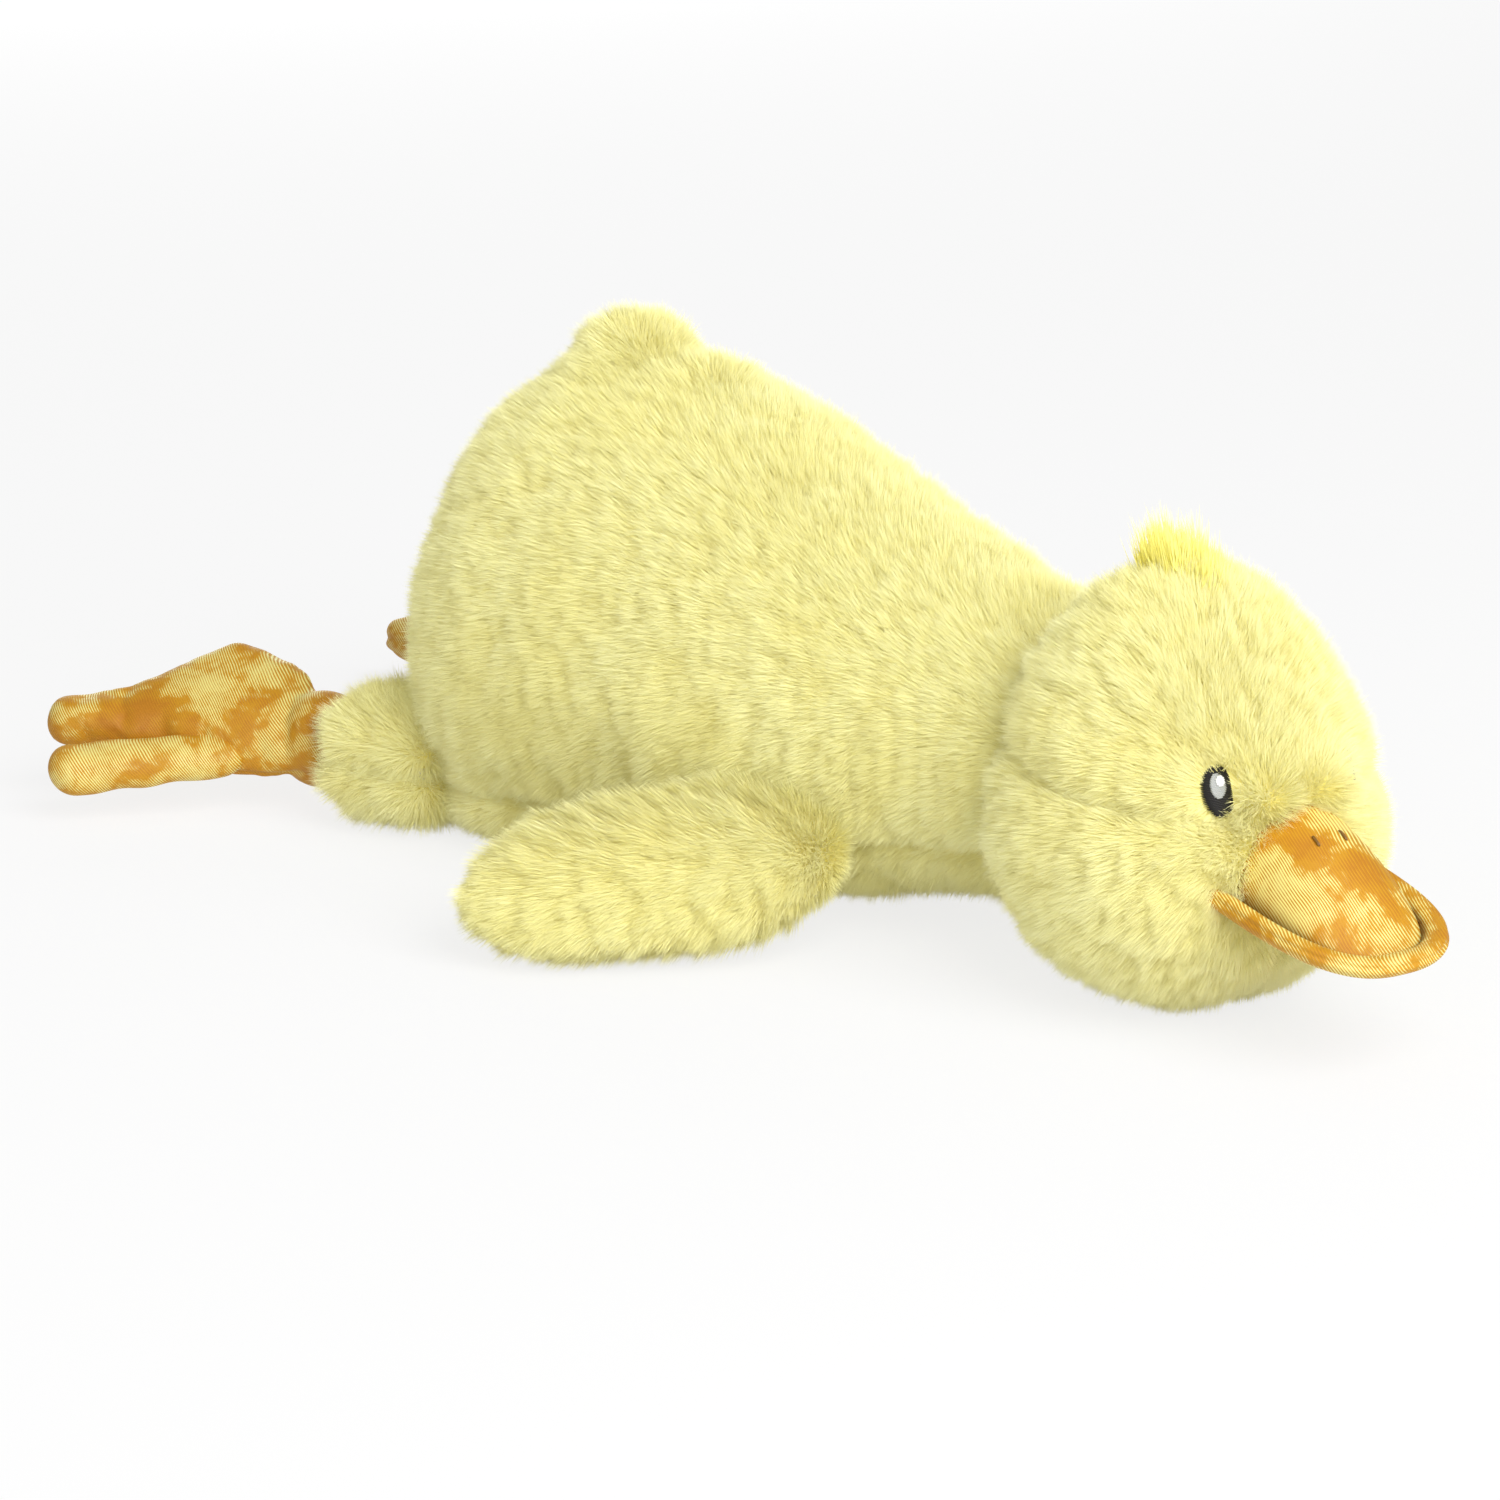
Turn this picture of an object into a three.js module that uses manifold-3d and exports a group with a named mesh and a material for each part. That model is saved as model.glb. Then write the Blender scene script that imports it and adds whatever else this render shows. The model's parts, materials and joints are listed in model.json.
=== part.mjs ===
// A stuffed duck that lies on its belly: plush skin over loose filling, with a velvet bill and feet.
// It faces +X, its left side is +Y and it lies on z = 0. All sizes are in millimetres and degrees.
import * as THREE from 'three';
import { mergeVertices } from 'three/addons/utils/BufferGeometryUtils.js';
import Module from 'manifold-3d';

const wasm = await Module();
wasm.setup();

// Cloth and clearances
const PLUSH_DEPTH = 6;
const VELVET_DEPTH = 1.5;
const THREAD_DEPTH = 0.8;
const SEAM_GAP = 0.3;
const FILLING_GAP = 0.75;
const TOUCH_GAP = 0.4;
const TURNING_GAP = 0.2;
const FLOOR_CUT = 0.5;

// Trunk
const TRUNK_LENGTH = 228;
const TRUNK_ABOVE = 90;
const TRUNK_BELOW = 55;
const TRUNK_HALF_WIDTH = 68;
const RUMP_ROUND = 60;
const CHEST_ROUND = 24;
const BELLY_SEAM_Z = 18;
const BELLY_SEAM_TILT = 4;

// Tail
const TAIL_LENGTH = 46;
const TAIL_WIDTH = 42;
const TAIL_HEIGHT = 50;
const TAIL_RISE = 12.5;
const TAIL_FORWARD = 60;
const TAIL_LEAN = 28;

// Neck
const NECK_RADIUS = 40;
const NECK_HEIGHT = 57;
const NECK_SINK = 4;
const NECK_SWING = 15;

// Head
const HEAD_LENGTH = 103;
const HEAD_HALF_WIDTH = 52.5;
const HEAD_HEIGHT = 120;
const CHIN_ROUND = 52;
const CROWN_ROUND = 70;
const HEAD_FORWARD = 51;
const HEAD_TURN = 13;
const CHEEK_SEAM_Z = 66;
const CHEEK_SEAM_TILT = 7;

// Eyes
const EYE_WIDTH = 9.4;
const EYE_HEIGHT = 13.6;
const EYE_Z = 71;
const EYE_BEARING = 28;
const EYE_LEAN = 8;
const HIGHLIGHT_SHARE = 0.52;
const HIGHLIGHT_PLACE = [-0.4, 1.2];
const GLINT_SIZE = 2.6;
const GLINT_PLACE = [0.4, 2.2];

// Bill
const BILL_LENGTH = 39.5;
const BILL_HALF_WIDTH = 26.5;
const BILL_DOME = 26;
const BILL_DOME_FALL = 0.84;
const BILL_POUCH = 9;
const BILL_POUCH_FALL = 0.4;
const BILL_RIM = 6;
const BILL_RIM_DEPTH = 6;
const BILL_ROUND = 45;
const BILL_PITCH = 10;
const BILL_CURL = 2;
const BILL_Z = 38;
const BILL_SINK = 20;
const NOSTRIL_LENGTH = 4;
const NOSTRIL_WIDTH = 1.2;
const NOSTRIL_SPACING = 9;
const NOSTRIL_BACK = 36;
const NOSTRIL_SLANT = 12;

// Tuft
const TUFT_LENGTH = 30;
const TUFT_WIDTH = 10;
const TUFT_HEIGHT = 13;
const TUFT_BACK = 4;
const TUFT_TIPS = [0.62, 0.8, 0.9, 1, 0.92, 0.78, 0.66];
const TUFT_NOTCH = 0.6;

// Wings
const WING_LENGTH = 118;
const WING_WIDTH = 59;
const WING_THICKNESS = 34;
const WING_ROUND = 38;
const WING_TIP_ROUND = 30;
const WING_TILT = 45;
const WING_SWEEP = 49;
const WING_DROP = 7;
const SHOULDER_BEHIND_NECK = 35;
const SHOULDER_DEPTH = 25;
const SHOULDER_Z = 31;

// Legs
const CUFF_LENGTH = 56;
const CUFF_HEIGHT = 44;
const CUFF_WIDTH = 50;
const CUFF_ROUND = 12;
const HIP_AHEAD_OF_RUMP = 40;
const HIP_DEPTH = 24;
const LEG_SPLAY = 12;
const ANKLE_RADIUS = 15;
const ANKLE_STAND_OUT = 2.6;

// Feet
const FOOT_LENGTH = 86;
const FOOT_WIDTH = 46;
const FOOT_THICKNESS = 20;
const FOOT_ROUND = 12;
const FOOT_TILT = { right: 45, left: 20 };
const FOOT_RISE = { right: 2, left: -6 };
const TOE_WIDTH = 18;
const TOE_THICKNESS = 13;
const TOE_LENGTH = 60;
const TOE_ROUND = 8;
const TOE_OUT = { right: 36, left: -4 };

const MATERIALS = {
  plush: new THREE.MeshStandardMaterial({ color: 0xf6efa0, roughness: 0.95, metalness: 0 }),
  tuft: new THREE.MeshStandardMaterial({ color: 0xfbe64f, roughness: 0.9, metalness: 0 }),
  velvet: new THREE.MeshStandardMaterial({ color: 0xdc9a26, roughness: 0.5, metalness: 0 }),
  filling: new THREE.MeshStandardMaterial({ color: 0xf4f3ee, roughness: 1, metalness: 0 }),
  blackThread: new THREE.MeshStandardMaterial({ color: 0x17130f, roughness: 0.5, metalness: 0 }),
  greyThread: new THREE.MeshStandardMaterial({ color: 0xb9bcc0, roughness: 0.5, metalness: 0 }),
  whiteThread: new THREE.MeshStandardMaterial({ color: 0xffffff, roughness: 0.5, metalness: 0 }),
  brownThread: new THREE.MeshStandardMaterial({ color: 0x6b4a17, roughness: 0.7, metalness: 0 }),
};

const cos = (degrees) => Math.cos(THREE.MathUtils.degToRad(degrees));
const sin = (degrees) => Math.sin(THREE.MathUtils.degToRad(degrees));
const point = (x, y, z) => new THREE.Vector3(x, y, z);

// The value called name at place t, on a smooth line through rows in order of their t
function follow(rows, name, t) {
  const last = rows.length - 1;
  const found = rows.findIndex((row) => row.t > t);
  const i = found < 1 ? last - 1 : found - 1;
  const slope = (k) => {
    const [a, b] = [rows[Math.max(k - 1, 0)], rows[Math.min(k + 1, last)]];
    return (b[name] - a[name]) / (b.t - a.t);
  };
  const [from, to] = [rows[i], rows[i + 1]];
  const step = to.t - from.t;
  const u = THREE.MathUtils.clamp((t - from.t) / step, 0, 1);
  const v = 1 - u;
  return from[name] * v * v * (1 + 2 * u) + to[name] * u * u * (3 - 2 * u)
    + slope(i) * step * u * v * v - slope(i + 1) * step * u * u * v;
}

// A power of a signed number that keeps its sign
const signedPower = (value, power) => Math.sign(value) * Math.abs(value) ** power;

// How far a rounded end is open: 0 at its pole, 1 from a depth of its whole roundness on
const opened = (depth, round, power) => (
  depth >= round ? 1 : (1 - (1 - depth / round) ** power) ** (1 / power)
);

// A closed skin over rings of equally many points, with a pole at each end
function skin(rings, startPole, endPole) {
  const count = rings[0].length;
  const points = [startPole, ...rings.flat(), endPole];
  const at = (ring, k) => 1 + ring * count + (k % count);
  const faces = [];
  for (let k = 0; k < count; k += 1) {
    faces.push(0, at(0, k + 1), at(0, k));
    faces.push(points.length - 1, at(rings.length - 1, k), at(rings.length - 1, k + 1));
    for (let ring = 0; ring < rings.length - 1; ring += 1) {
      faces.push(at(ring, k), at(ring, k + 1), at(ring + 1, k));
      faces.push(at(ring, k + 1), at(ring + 1, k + 1), at(ring + 1, k));
    }
  }
  const geometry = new THREE.BufferGeometry();
  const places = points.flatMap((p) => p.toArray());
  geometry.setAttribute('position', new THREE.Float32BufferAttribute(places, 3));
  geometry.setIndex(faces);
  return geometry;
}

// A soft form along its own X, closed by rounded ends, whose sections swell and taper through rows.
// A row gives the reach up, down, left and right at t, a share of the length. An inset draws the whole
// skin in, and a negative one lets it out. A coarse form has every second point of a fine one.
function softForm(form, inset, coarse = false) {
  const { length, rows, startRound, endRound } = form;
  const [stations, around] = [form.stations, form.around].map((count) => (coarse ? count / 2 : count));
  const { startPower = 2, endPower = 2, downPower = form.upPower } = form;
  const rings = [];
  for (let i = 1; i < stations; i += 1) {
    const share = (1 - Math.cos((Math.PI * i) / stations)) / 2;
    const x = inset + share * (length - 2 * inset);
    const open = opened(x - inset, startRound, startPower) * opened(length - inset - x, endRound, endPower);
    const reach = (name) => Math.max(follow(rows, name, x / length) - inset, THREAD_DEPTH) * open;
    const [up, down, left, right] = ['up', 'down', 'left', 'right'].map(reach);
    rings.push(Array.from({ length: around }, (_, k) => {
      const angle = (2 * Math.PI * k) / around;
      const [c, s] = [Math.cos(angle), Math.sin(angle)];
      const power = 2 / (s > 0 ? form.upPower : downPower);
      const [aside, above] = [signedPower(c, power), signedPower(s, power)];
      return point(x, (c > 0 ? left : right) * aside, (s > 0 ? up : down) * above);
    }));
  }
  return skin(rings, point(inset, 0, 0), point(length - inset, 0, 0));
}

// Rows whose shares of a reach up, down and to each side become millimetres
const sized = (above, below, halfWidth, rows) => rows.map(({ t, up, down = up, side }) => ({
  t, up: up * above, down: down * below, left: side * halfWidth, right: side * halfWidth,
}));

// A three.js geometry as a solid, turned right side out, and a solid as a three.js geometry
function solidOf(source) {
  const bare = source.clone();
  bare.deleteAttribute('normal');
  bare.deleteAttribute('uv');
  const merged = mergeVertices(bare, 1e-4);
  const vertProperties = Float32Array.from(merged.attributes.position.array);
  const faces = Uint32Array.from(merged.index.array);
  const build = (triVerts) => new wasm.Manifold(new wasm.Mesh({ numProp: 3, vertProperties, triVerts }));
  const solid = build(faces);
  return solid.volume() > 0 ? solid : build(faces.reverse());
}

function geometryOf(solid) {
  const mesh = solid.getMesh();
  const geometry = new THREE.BufferGeometry();
  geometry.setAttribute('position', new THREE.Float32BufferAttribute(mesh.vertProperties, 3));
  geometry.setIndex([...mesh.triVerts]);
  geometry.computeVertexNormals();
  return geometry;
}
const moved = (solid, matrix) => solidOf(geometryOf(solid).applyMatrix4(matrix));
const mirrored = (solid) => solidOf(geometryOf(solid).scale(1, -1, 1));

// The frame of a piece: its own X points along, and its own Y across, as nearly as it can
function frameOf(origin, along, across) {
  const x = along.clone().normalize();
  const z = x.clone().cross(across).normalize();
  return new THREE.Matrix4().makeBasis(x, z.clone().cross(x), z).setPosition(origin);
}
const WORLD = new THREE.Matrix4();

// All that lies on one side of a level in a piece's own frame, with its face bent where a bend is given
const FAR = 400;
function halfSpace(axis, side, level, frame = WORLD, bend = (geometry) => geometry, steps = 1) {
  const box = new THREE.BoxGeometry(2 * FAR, 2 * FAR, 2 * FAR, 1, steps, 1);
  const middle = point(0, 0, 0);
  middle[axis] = level + side * FAR;
  box.translate(middle.x, middle.y, middle.z);
  return solidOf(bend(box).applyMatrix4(frame));
}
const belowFloor = halfSpace('z', -1, 0);
const rightHalf = halfSpace('y', -1, -SEAM_GAP / 2);

const cutBy = (solid, cutters) => cutters.reduce((kept, cutter) => kept.subtract(cutter), solid);

const duck = new THREE.Group();

function addPiece(name, solid, material, group = duck) {
  const geometry = geometryOf(solid).translate(...group.position.clone().negate().toArray());
  const mesh = new THREE.Mesh(geometry, MATERIALS[material]);
  mesh.name = name;
  group.add(mesh);
}

// A piece of the right side and its mirror image on the left
function addPair(name, solid, material, group = duck) {
  addPiece(`right_${name}`, solid, material, group);
  addPiece(`left_${name}`, mirrored(solid), material, group);
}

// Trunk: upright sections from the rump to the neck, with the tail as a lobe on top of the rump
const trunkForm = {
  length: TRUNK_LENGTH,
  stations: 14,
  around: 24,
  startRound: RUMP_ROUND,
  endRound: CHEST_ROUND,
  startPower: 2.5,
  upPower: 1.85,
  downPower: 2.7,
  rows: sized(TRUNK_ABOVE, TRUNK_BELOW, TRUNK_HALF_WIDTH, [
    { t: 0.0, up: 0.92, down: 1.0, side: 0.98 },
    { t: 0.24, up: 1.0, down: 1.0, side: 1.0 },
    { t: 0.46, up: 0.93, down: 1.0, side: 0.97 },
    { t: 0.7, up: 0.68, down: 0.92, side: 0.85 },
    { t: 0.86, up: 0.54, down: 0.78, side: 0.71 },
    { t: 1.0, up: 0.44, down: 0.67, side: 0.61 },
  ]),
};
const trunkLevel = TRUNK_BELOW - FLOOR_CUT;
const trunkFrame = new THREE.Matrix4().makeTranslation(0, 0, trunkLevel);

function tailLobe(inset, coarse) {
  const lobe = coarse ? new THREE.SphereGeometry(1, 8, 5) : new THREE.SphereGeometry(1, 16, 10);
  lobe.scale(TAIL_LENGTH / 2 - inset, TAIL_WIDTH / 2 - inset, TAIL_HEIGHT / 2 - inset);
  lobe.rotateY(THREE.MathUtils.degToRad(-TAIL_LEAN));
  return solidOf(lobe.translate(TAIL_FORWARD, 0, trunkLevel + TRUNK_ABOVE + TAIL_RISE - TAIL_HEIGHT / 2));
}
const trunkSolid = (inset, coarse) => (
  solidOf(softForm(trunkForm, inset, coarse).applyMatrix4(trunkFrame)).add(tailLobe(inset, coarse))
);

// A ball with counts of flat faces, and the socket that clears its corners when it turns
function ball(centre, radius, { around, high }) {
  const sphere = new THREE.SphereGeometry(radius, around, high).rotateX(Math.PI / 2);
  return solidOf(sphere.translate(...centre.toArray()));
}
function socket(centre, radius, { around, high }) {
  const flatness = Math.cos(Math.PI / around) * Math.cos(Math.PI / (2 * high));
  return ball(centre, (radius + TURNING_GAP) / flatness, { around, high });
}

// Neck: a plush ball that the trunk and the head both seat on, and turn about
const neckPivot = point(TRUNK_LENGTH - NECK_SINK, 0, NECK_HEIGHT);
const NECK_FACES = { around: 24, high: 14 };
const neckBall = ball(neckPivot, NECK_RADIUS, NECK_FACES);
const neckSocket = socket(neckPivot, NECK_RADIUS, NECK_FACES);

// The space before the trunk in which the head nods and turns: all that lies ahead of a wide cone
const SWING_REACH = 90;
function swingSpace() {
  const reach = SWING_REACH;
  const back = (-reach * sin(NECK_SWING - NECK_SINK)) / cos(NECK_SWING - NECK_SINK);
  const outline = [[0, 0], [reach, back], [reach, reach], [0, reach]];
  const cone = new THREE.LatheGeometry(outline.map(([r, h]) => new THREE.Vector2(r, h)), 24);
  return solidOf(cone.rotateZ(-Math.PI / 2).translate(...neckPivot.toArray()));
}

function buildTrunk() {
  const cutters = [belowFloor, swingSpace(), neckSocket];
  const shell = cutBy(trunkSolid(0).subtract(trunkSolid(PLUSH_DEPTH)), cutters);
  const seam = frameOf(
    point(0, 0, BELLY_SEAM_Z),
    point(cos(BELLY_SEAM_TILT), 0, sin(BELLY_SEAM_TILT)),
    point(0, 1, 0),
  );
  const sides = shell.intersect(halfSpace('z', 1, SEAM_GAP / 2, seam));
  const belly = shell.intersect(halfSpace('z', -1, -SEAM_GAP / 2, seam));
  addPair('side_panel', sides.intersect(rightHalf), 'plush');
  addPiece('belly_panel', belly, 'plush');
  addPiece('trunk_filling', cutBy(trunkSolid(PLUSH_DEPTH + FILLING_GAP, true), cutters), 'filling');
  addPiece('neck', neckBall, 'plush');
}

// Head: level sections from the chin to the crown; up is its front and down is its rear
const headForm = {
  length: HEAD_HEIGHT + FLOOR_CUT,
  stations: 12,
  around: 24,
  startRound: CHIN_ROUND,
  endRound: CROWN_ROUND,
  startPower: 2.5,
  endPower: 2.1,
  upPower: 2.15,
  rows: sized(HEAD_LENGTH, HEAD_LENGTH, HEAD_HALF_WIDTH, [
    { t: 0.0, up: 0.46, down: 0.42, side: 0.88 },
    { t: 0.25, up: 0.52, down: 0.45, side: 1.00 },
    { t: 0.45, up: 0.51, down: 0.46, side: 1.00 },
    { t: 0.65, up: 0.45, down: 0.46, side: 0.95 },
    { t: 0.85, up: 0.37, down: 0.44, side: 0.87 },
    { t: 1.0, up: 0.30, down: 0.40, side: 0.80 },
  ]),
};
const headX = neckPivot.x + HEAD_FORWARD;
const faceX = headX + HEAD_LENGTH / 2;
const headFrame = frameOf(point(headX, 0, -FLOOR_CUT), point(0, 0, 1), point(0, -1, 0));
const headSolid = (inset, coarse) => solidOf(softForm(headForm, inset, coarse).applyMatrix4(headFrame));
const aroundHead = headSolid(-TOUCH_GAP);

// The head and all on it are built facing straight ahead and turned to the right about the neck
const head = new THREE.Group();
head.position.copy(neckPivot);
head.rotation.z = THREE.MathUtils.degToRad(-HEAD_TURN);
duck.add(head);

function buildHead() {
  const cutters = [belowFloor, neckSocket];
  const shell = cutBy(headSolid(0).subtract(headSolid(PLUSH_DEPTH)), cutters);
  const seam = frameOf(
    point(headX, 0, CHEEK_SEAM_Z),
    point(cos(CHEEK_SEAM_TILT), 0, -sin(CHEEK_SEAM_TILT)),
    point(0, 1, 0),
  );
  const crown = shell.intersect(halfSpace('z', 1, SEAM_GAP / 2, seam));
  const cheeks = shell.intersect(halfSpace('z', -1, -SEAM_GAP / 2, seam));
  addPair('crown_panel', crown.intersect(rightHalf), 'plush', head);
  addPair('cheek_panel', cheeks.intersect(rightHalf), 'plush', head);
  addPiece('head_filling', cutBy(headSolid(PLUSH_DEPTH + FILLING_GAP, true), cutters), 'filling', head);
}

function oval(width, height, [x, y] = [0, 0]) {
  return new THREE.Shape().absellipse(x, y, width / 2, height / 2, 0, 2 * Math.PI);
}

// A rod with an outline, square to the head's axis at the eye's bearing and height
function eyeRod(outline) {
  const settings = { depth: HEAD_LENGTH, bevelEnabled: false, curveSegments: 8 };
  const rod = new THREE.ExtrudeGeometry(outline, settings);
  const out = point(cos(EYE_BEARING), -sin(EYE_BEARING), 0);
  const up = point(0, 0, 1);
  const frame = new THREE.Matrix4().makeBasis(up.clone().cross(out), up, out);
  rod.rotateZ(THREE.MathUtils.degToRad(EYE_LEAN));
  return solidOf(rod.applyMatrix4(frame.setPosition(headX, 0, EYE_Z)));
}

// Eyes: three layers of stitching on the plush, each a thread's depth over the last
function buildEyes() {
  const share = HIGHLIGHT_SHARE;
  const layers = [
    ['eye', 'blackThread', oval(EYE_WIDTH, EYE_HEIGHT)],
    ['eye_highlight', 'greyThread', oval(share * EYE_WIDTH, share * EYE_HEIGHT, HIGHLIGHT_PLACE)],
    ['eye_glint', 'whiteThread', oval(GLINT_SIZE, GLINT_SIZE, GLINT_PLACE)],
  ];
  layers.forEach(([name, material, outline], i) => {
    const low = SEAM_GAP + i * (THREAD_DEPTH + SEAM_GAP);
    const layer = headSolid(-low - THREAD_DEPTH).subtract(headSolid(-low));
    addPair(name, layer.intersect(eyeRod(outline)), material, head);
  });
}

// Bill: its own X runs forward from the face, and its rim curls up from its own XY plane at the sides
function billForm(drawnIn, up, down, power) {
  const halfWidth = BILL_HALF_WIDTH - drawnIn;
  return {
    length: BILL_SINK + BILL_LENGTH - drawnIn,
    stations: 10,
    around: 20,
    startRound: THREAD_DEPTH,
    endRound: BILL_ROUND - drawnIn,
    endPower: 3,
    upPower: power,
    rows: [0, 0.5, 1].map((t) => ({
      t,
      up: up * (1 - BILL_DOME_FALL * t * t),
      down: down * (1 - BILL_POUCH_FALL * t * t),
      left: halfWidth,
      right: halfWidth,
    })),
  };
}

function curled(geometry) {
  const places = geometry.attributes.position;
  for (let i = 0; i < places.count; i += 1) {
    const share = Math.min(Math.abs(places.getY(i)) / BILL_HALF_WIDTH, 1);
    places.setZ(i, places.getZ(i) + BILL_CURL * share * share);
  }
  return geometry;
}

const billDome = (inset, coarse) => (
  solidOf(curled(softForm(billForm(BILL_RIM, BILL_DOME, BILL_POUCH, 2), inset, coarse)))
);
const billRim = () => (
  solidOf(curled(softForm(billForm(0, BILL_RIM_DEPTH / 2, BILL_RIM_DEPTH / 2, 2.4), 0)))
);

function buildBill() {
  const forward = point(cos(BILL_PITCH), 0, -sin(BILL_PITCH));
  const origin = point(faceX, 0, BILL_Z).addScaledVector(forward, -BILL_SINK);
  const frame = frameOf(origin, forward, point(0, 1, 0));
  const finish = (solid) => cutBy(moved(solid, frame), [aroundHead, belowFloor]);
  const shell = billDome(0).add(billRim()).subtract(billDome(VELVET_DEPTH));
  const bendSteps = 40;
  const upper = halfSpace('z', 1, SEAM_GAP / 2, WORLD, curled, bendSteps);
  const lower = halfSpace('z', -1, -SEAM_GAP / 2, WORLD, curled, bendSteps);
  addPiece('upper_bill', finish(shell.intersect(upper)), 'velvet', head);
  addPiece('lower_bill', finish(shell.intersect(lower)), 'velvet', head);
  addPiece('bill_filling', finish(billDome(VELVET_DEPTH + FILLING_GAP, true)), 'filling', head);
  const stitchLow = billDome(-SEAM_GAP);
  const stitch = new THREE.BoxGeometry(NOSTRIL_LENGTH, NOSTRIL_WIDTH, 3 * BILL_DOME);
  stitch.rotateZ(THREE.MathUtils.degToRad(-NOSTRIL_SLANT));
  stitch.translate(BILL_SINK + BILL_LENGTH - NOSTRIL_BACK, -NOSTRIL_SPACING / 2, 2 * BILL_DOME);
  const thread = billDome(-SEAM_GAP - THREAD_DEPTH).subtract(stitchLow).intersect(solidOf(stitch));
  addPair('nostril', finish(thread), 'brownThread', head);
}

// Tuft: a crest of stepped points that stands in the middle of the crown
function buildTuft() {
  const shape = new THREE.Shape();
  const step = TUFT_LENGTH / TUFT_TIPS.length;
  shape.moveTo(-TUFT_LENGTH / 2, -TUFT_HEIGHT);
  TUFT_TIPS.forEach((tip, i) => {
    const x = i * step - TUFT_LENGTH / 2;
    shape.lineTo(x, tip * TUFT_HEIGHT * TUFT_NOTCH);
    shape.lineTo(x + step / 2, tip * TUFT_HEIGHT);
  });
  shape.lineTo(TUFT_LENGTH / 2, TUFT_TIPS.at(-1) * TUFT_HEIGHT * TUFT_NOTCH);
  shape.lineTo(TUFT_LENGTH / 2, -TUFT_HEIGHT);
  const crest = new THREE.ExtrudeGeometry(shape, { depth: TUFT_WIDTH, bevelEnabled: false });
  crest.translate(0, 0, -TUFT_WIDTH / 2).rotateX(Math.PI / 2);
  crest.translate(headX - TUFT_BACK, 0, HEAD_HEIGHT);
  addPiece('tuft', solidOf(crest).subtract(aroundHead), 'tuft', head);
}

// A limb's top cloth, under cloth and filling, as solids: the cloths part at the limb's own XY plane
function limbSolids(form, depth, frame, cutters) {
  const shell = form(0).subtract(form(depth));
  return {
    top: cutBy(shell.intersect(halfSpace('z', 1, SEAM_GAP / 2, frame)), cutters),
    under: cutBy(shell.intersect(halfSpace('z', -1, -SEAM_GAP / 2, frame)), cutters),
    filling: cutBy(form(depth + FILLING_GAP, true), cutters),
  };
}

// Wings: padded paddles from the shoulder, whose lower edges lie on the floor
const wingForm = {
  length: WING_LENGTH,
  stations: 10,
  around: 14,
  startRound: WING_ROUND,
  endRound: WING_TIP_ROUND,
  upPower: 1.8,
  rows: sized(WING_THICKNESS / 2, WING_THICKNESS / 2, WING_WIDTH / 2, [
    { t: 0.0, up: 0.88, side: 0.88 },
    { t: 0.35, up: 1.0, side: 1.0 },
    { t: 0.65, up: 0.92, side: 0.96 },
    { t: 1.0, up: 0.68, side: 0.78 },
  ]),
};

function wingFrame() {
  const root = point(neckPivot.x - SHOULDER_BEHIND_NECK, SHOULDER_DEPTH - TRUNK_HALF_WIDTH, SHOULDER_Z);
  const level = point(-cos(WING_SWEEP), -sin(WING_SWEEP), 0);
  const along = level.clone().multiplyScalar(cos(WING_DROP)).add(point(0, 0, -sin(WING_DROP)));
  const outward = point(0, 0, 1).cross(level);
  const across = outward.multiplyScalar(cos(WING_TILT)).add(point(0, 0, -sin(WING_TILT)));
  return frameOf(root, along, across);
}

const aroundTrunk = trunkSolid(-TOUCH_GAP);

function buildWings() {
  const frame = wingFrame();
  const form = (inset, coarse) => solidOf(softForm(wingForm, inset, coarse).applyMatrix4(frame));
  const wing = limbSolids(form, PLUSH_DEPTH, frame, [aroundTrunk, belowFloor]);
  addPair('wing_top', wing.top, 'plush');
  addPair('wing_under', wing.under, 'plush');
  addPair('wing_filling', wing.filling, 'filling');
}

// Legs: a plush cuff from the hip and a webbed velvet foot from the ankle, built for the right side
const cuffForm = {
  length: CUFF_LENGTH,
  stations: 8,
  around: 14,
  startRound: CUFF_ROUND,
  endRound: CUFF_ROUND,
  upPower: 2.2,
  rows: sized(CUFF_HEIGHT / 2, CUFF_HEIGHT / 2, CUFF_WIDTH / 2, [
    { t: 0, up: 1, side: 1 },
    { t: 1, up: 1, side: 1 },
  ]),
};
const legAlong = point(-cos(LEG_SPLAY), -sin(LEG_SPLAY), 0);
const hip = point(HIP_AHEAD_OF_RUMP, HIP_DEPTH - TRUNK_HALF_WIDTH, CUFF_HEIGHT / 2 - FLOOR_CUT);
const legFrame = frameOf(hip, legAlong, point(0, -1, 0));
const ankle = hip.clone().addScaledVector(legAlong, CUFF_LENGTH + ANKLE_STAND_OUT);

const ANKLE_FACES = { around: 14, high: 8 };
const ankleSocket = socket(ankle, ANKLE_RADIUS, ANKLE_FACES);

// The leaf of a foot swells from the ankle to the web and narrows to its long toe
const leafForm = {
  length: FOOT_LENGTH,
  stations: 10,
  around: 12,
  startRound: TOE_ROUND,
  endRound: FOOT_ROUND,
  upPower: 1.9,
  rows: [
    { t: 0.0, left: 0.30, right: 0.30, up: 0.75 },
    { t: 0.16, left: 0.53, right: 0.34, up: 0.95 },
    { t: 0.32, left: 0.64, right: 0.34, up: 1.0 },
    { t: 0.46, left: 0.58, right: 0.28, up: 0.9 },
    { t: 0.66, left: 0.36, right: 0.16, up: 0.7 },
    { t: 0.8, left: 0.25, right: 0.15, up: 0.65 },
    { t: 1.0, left: 0.20, right: 0.15, up: 0.65 },
  ].map(({ t, left, right, up }) => ({
    t,
    left: left * FOOT_WIDTH,
    right: right * FOOT_WIDTH,
    up: up * (FOOT_THICKNESS / 2),
    down: up * (FOOT_THICKNESS / 2),
  })),
};
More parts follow.
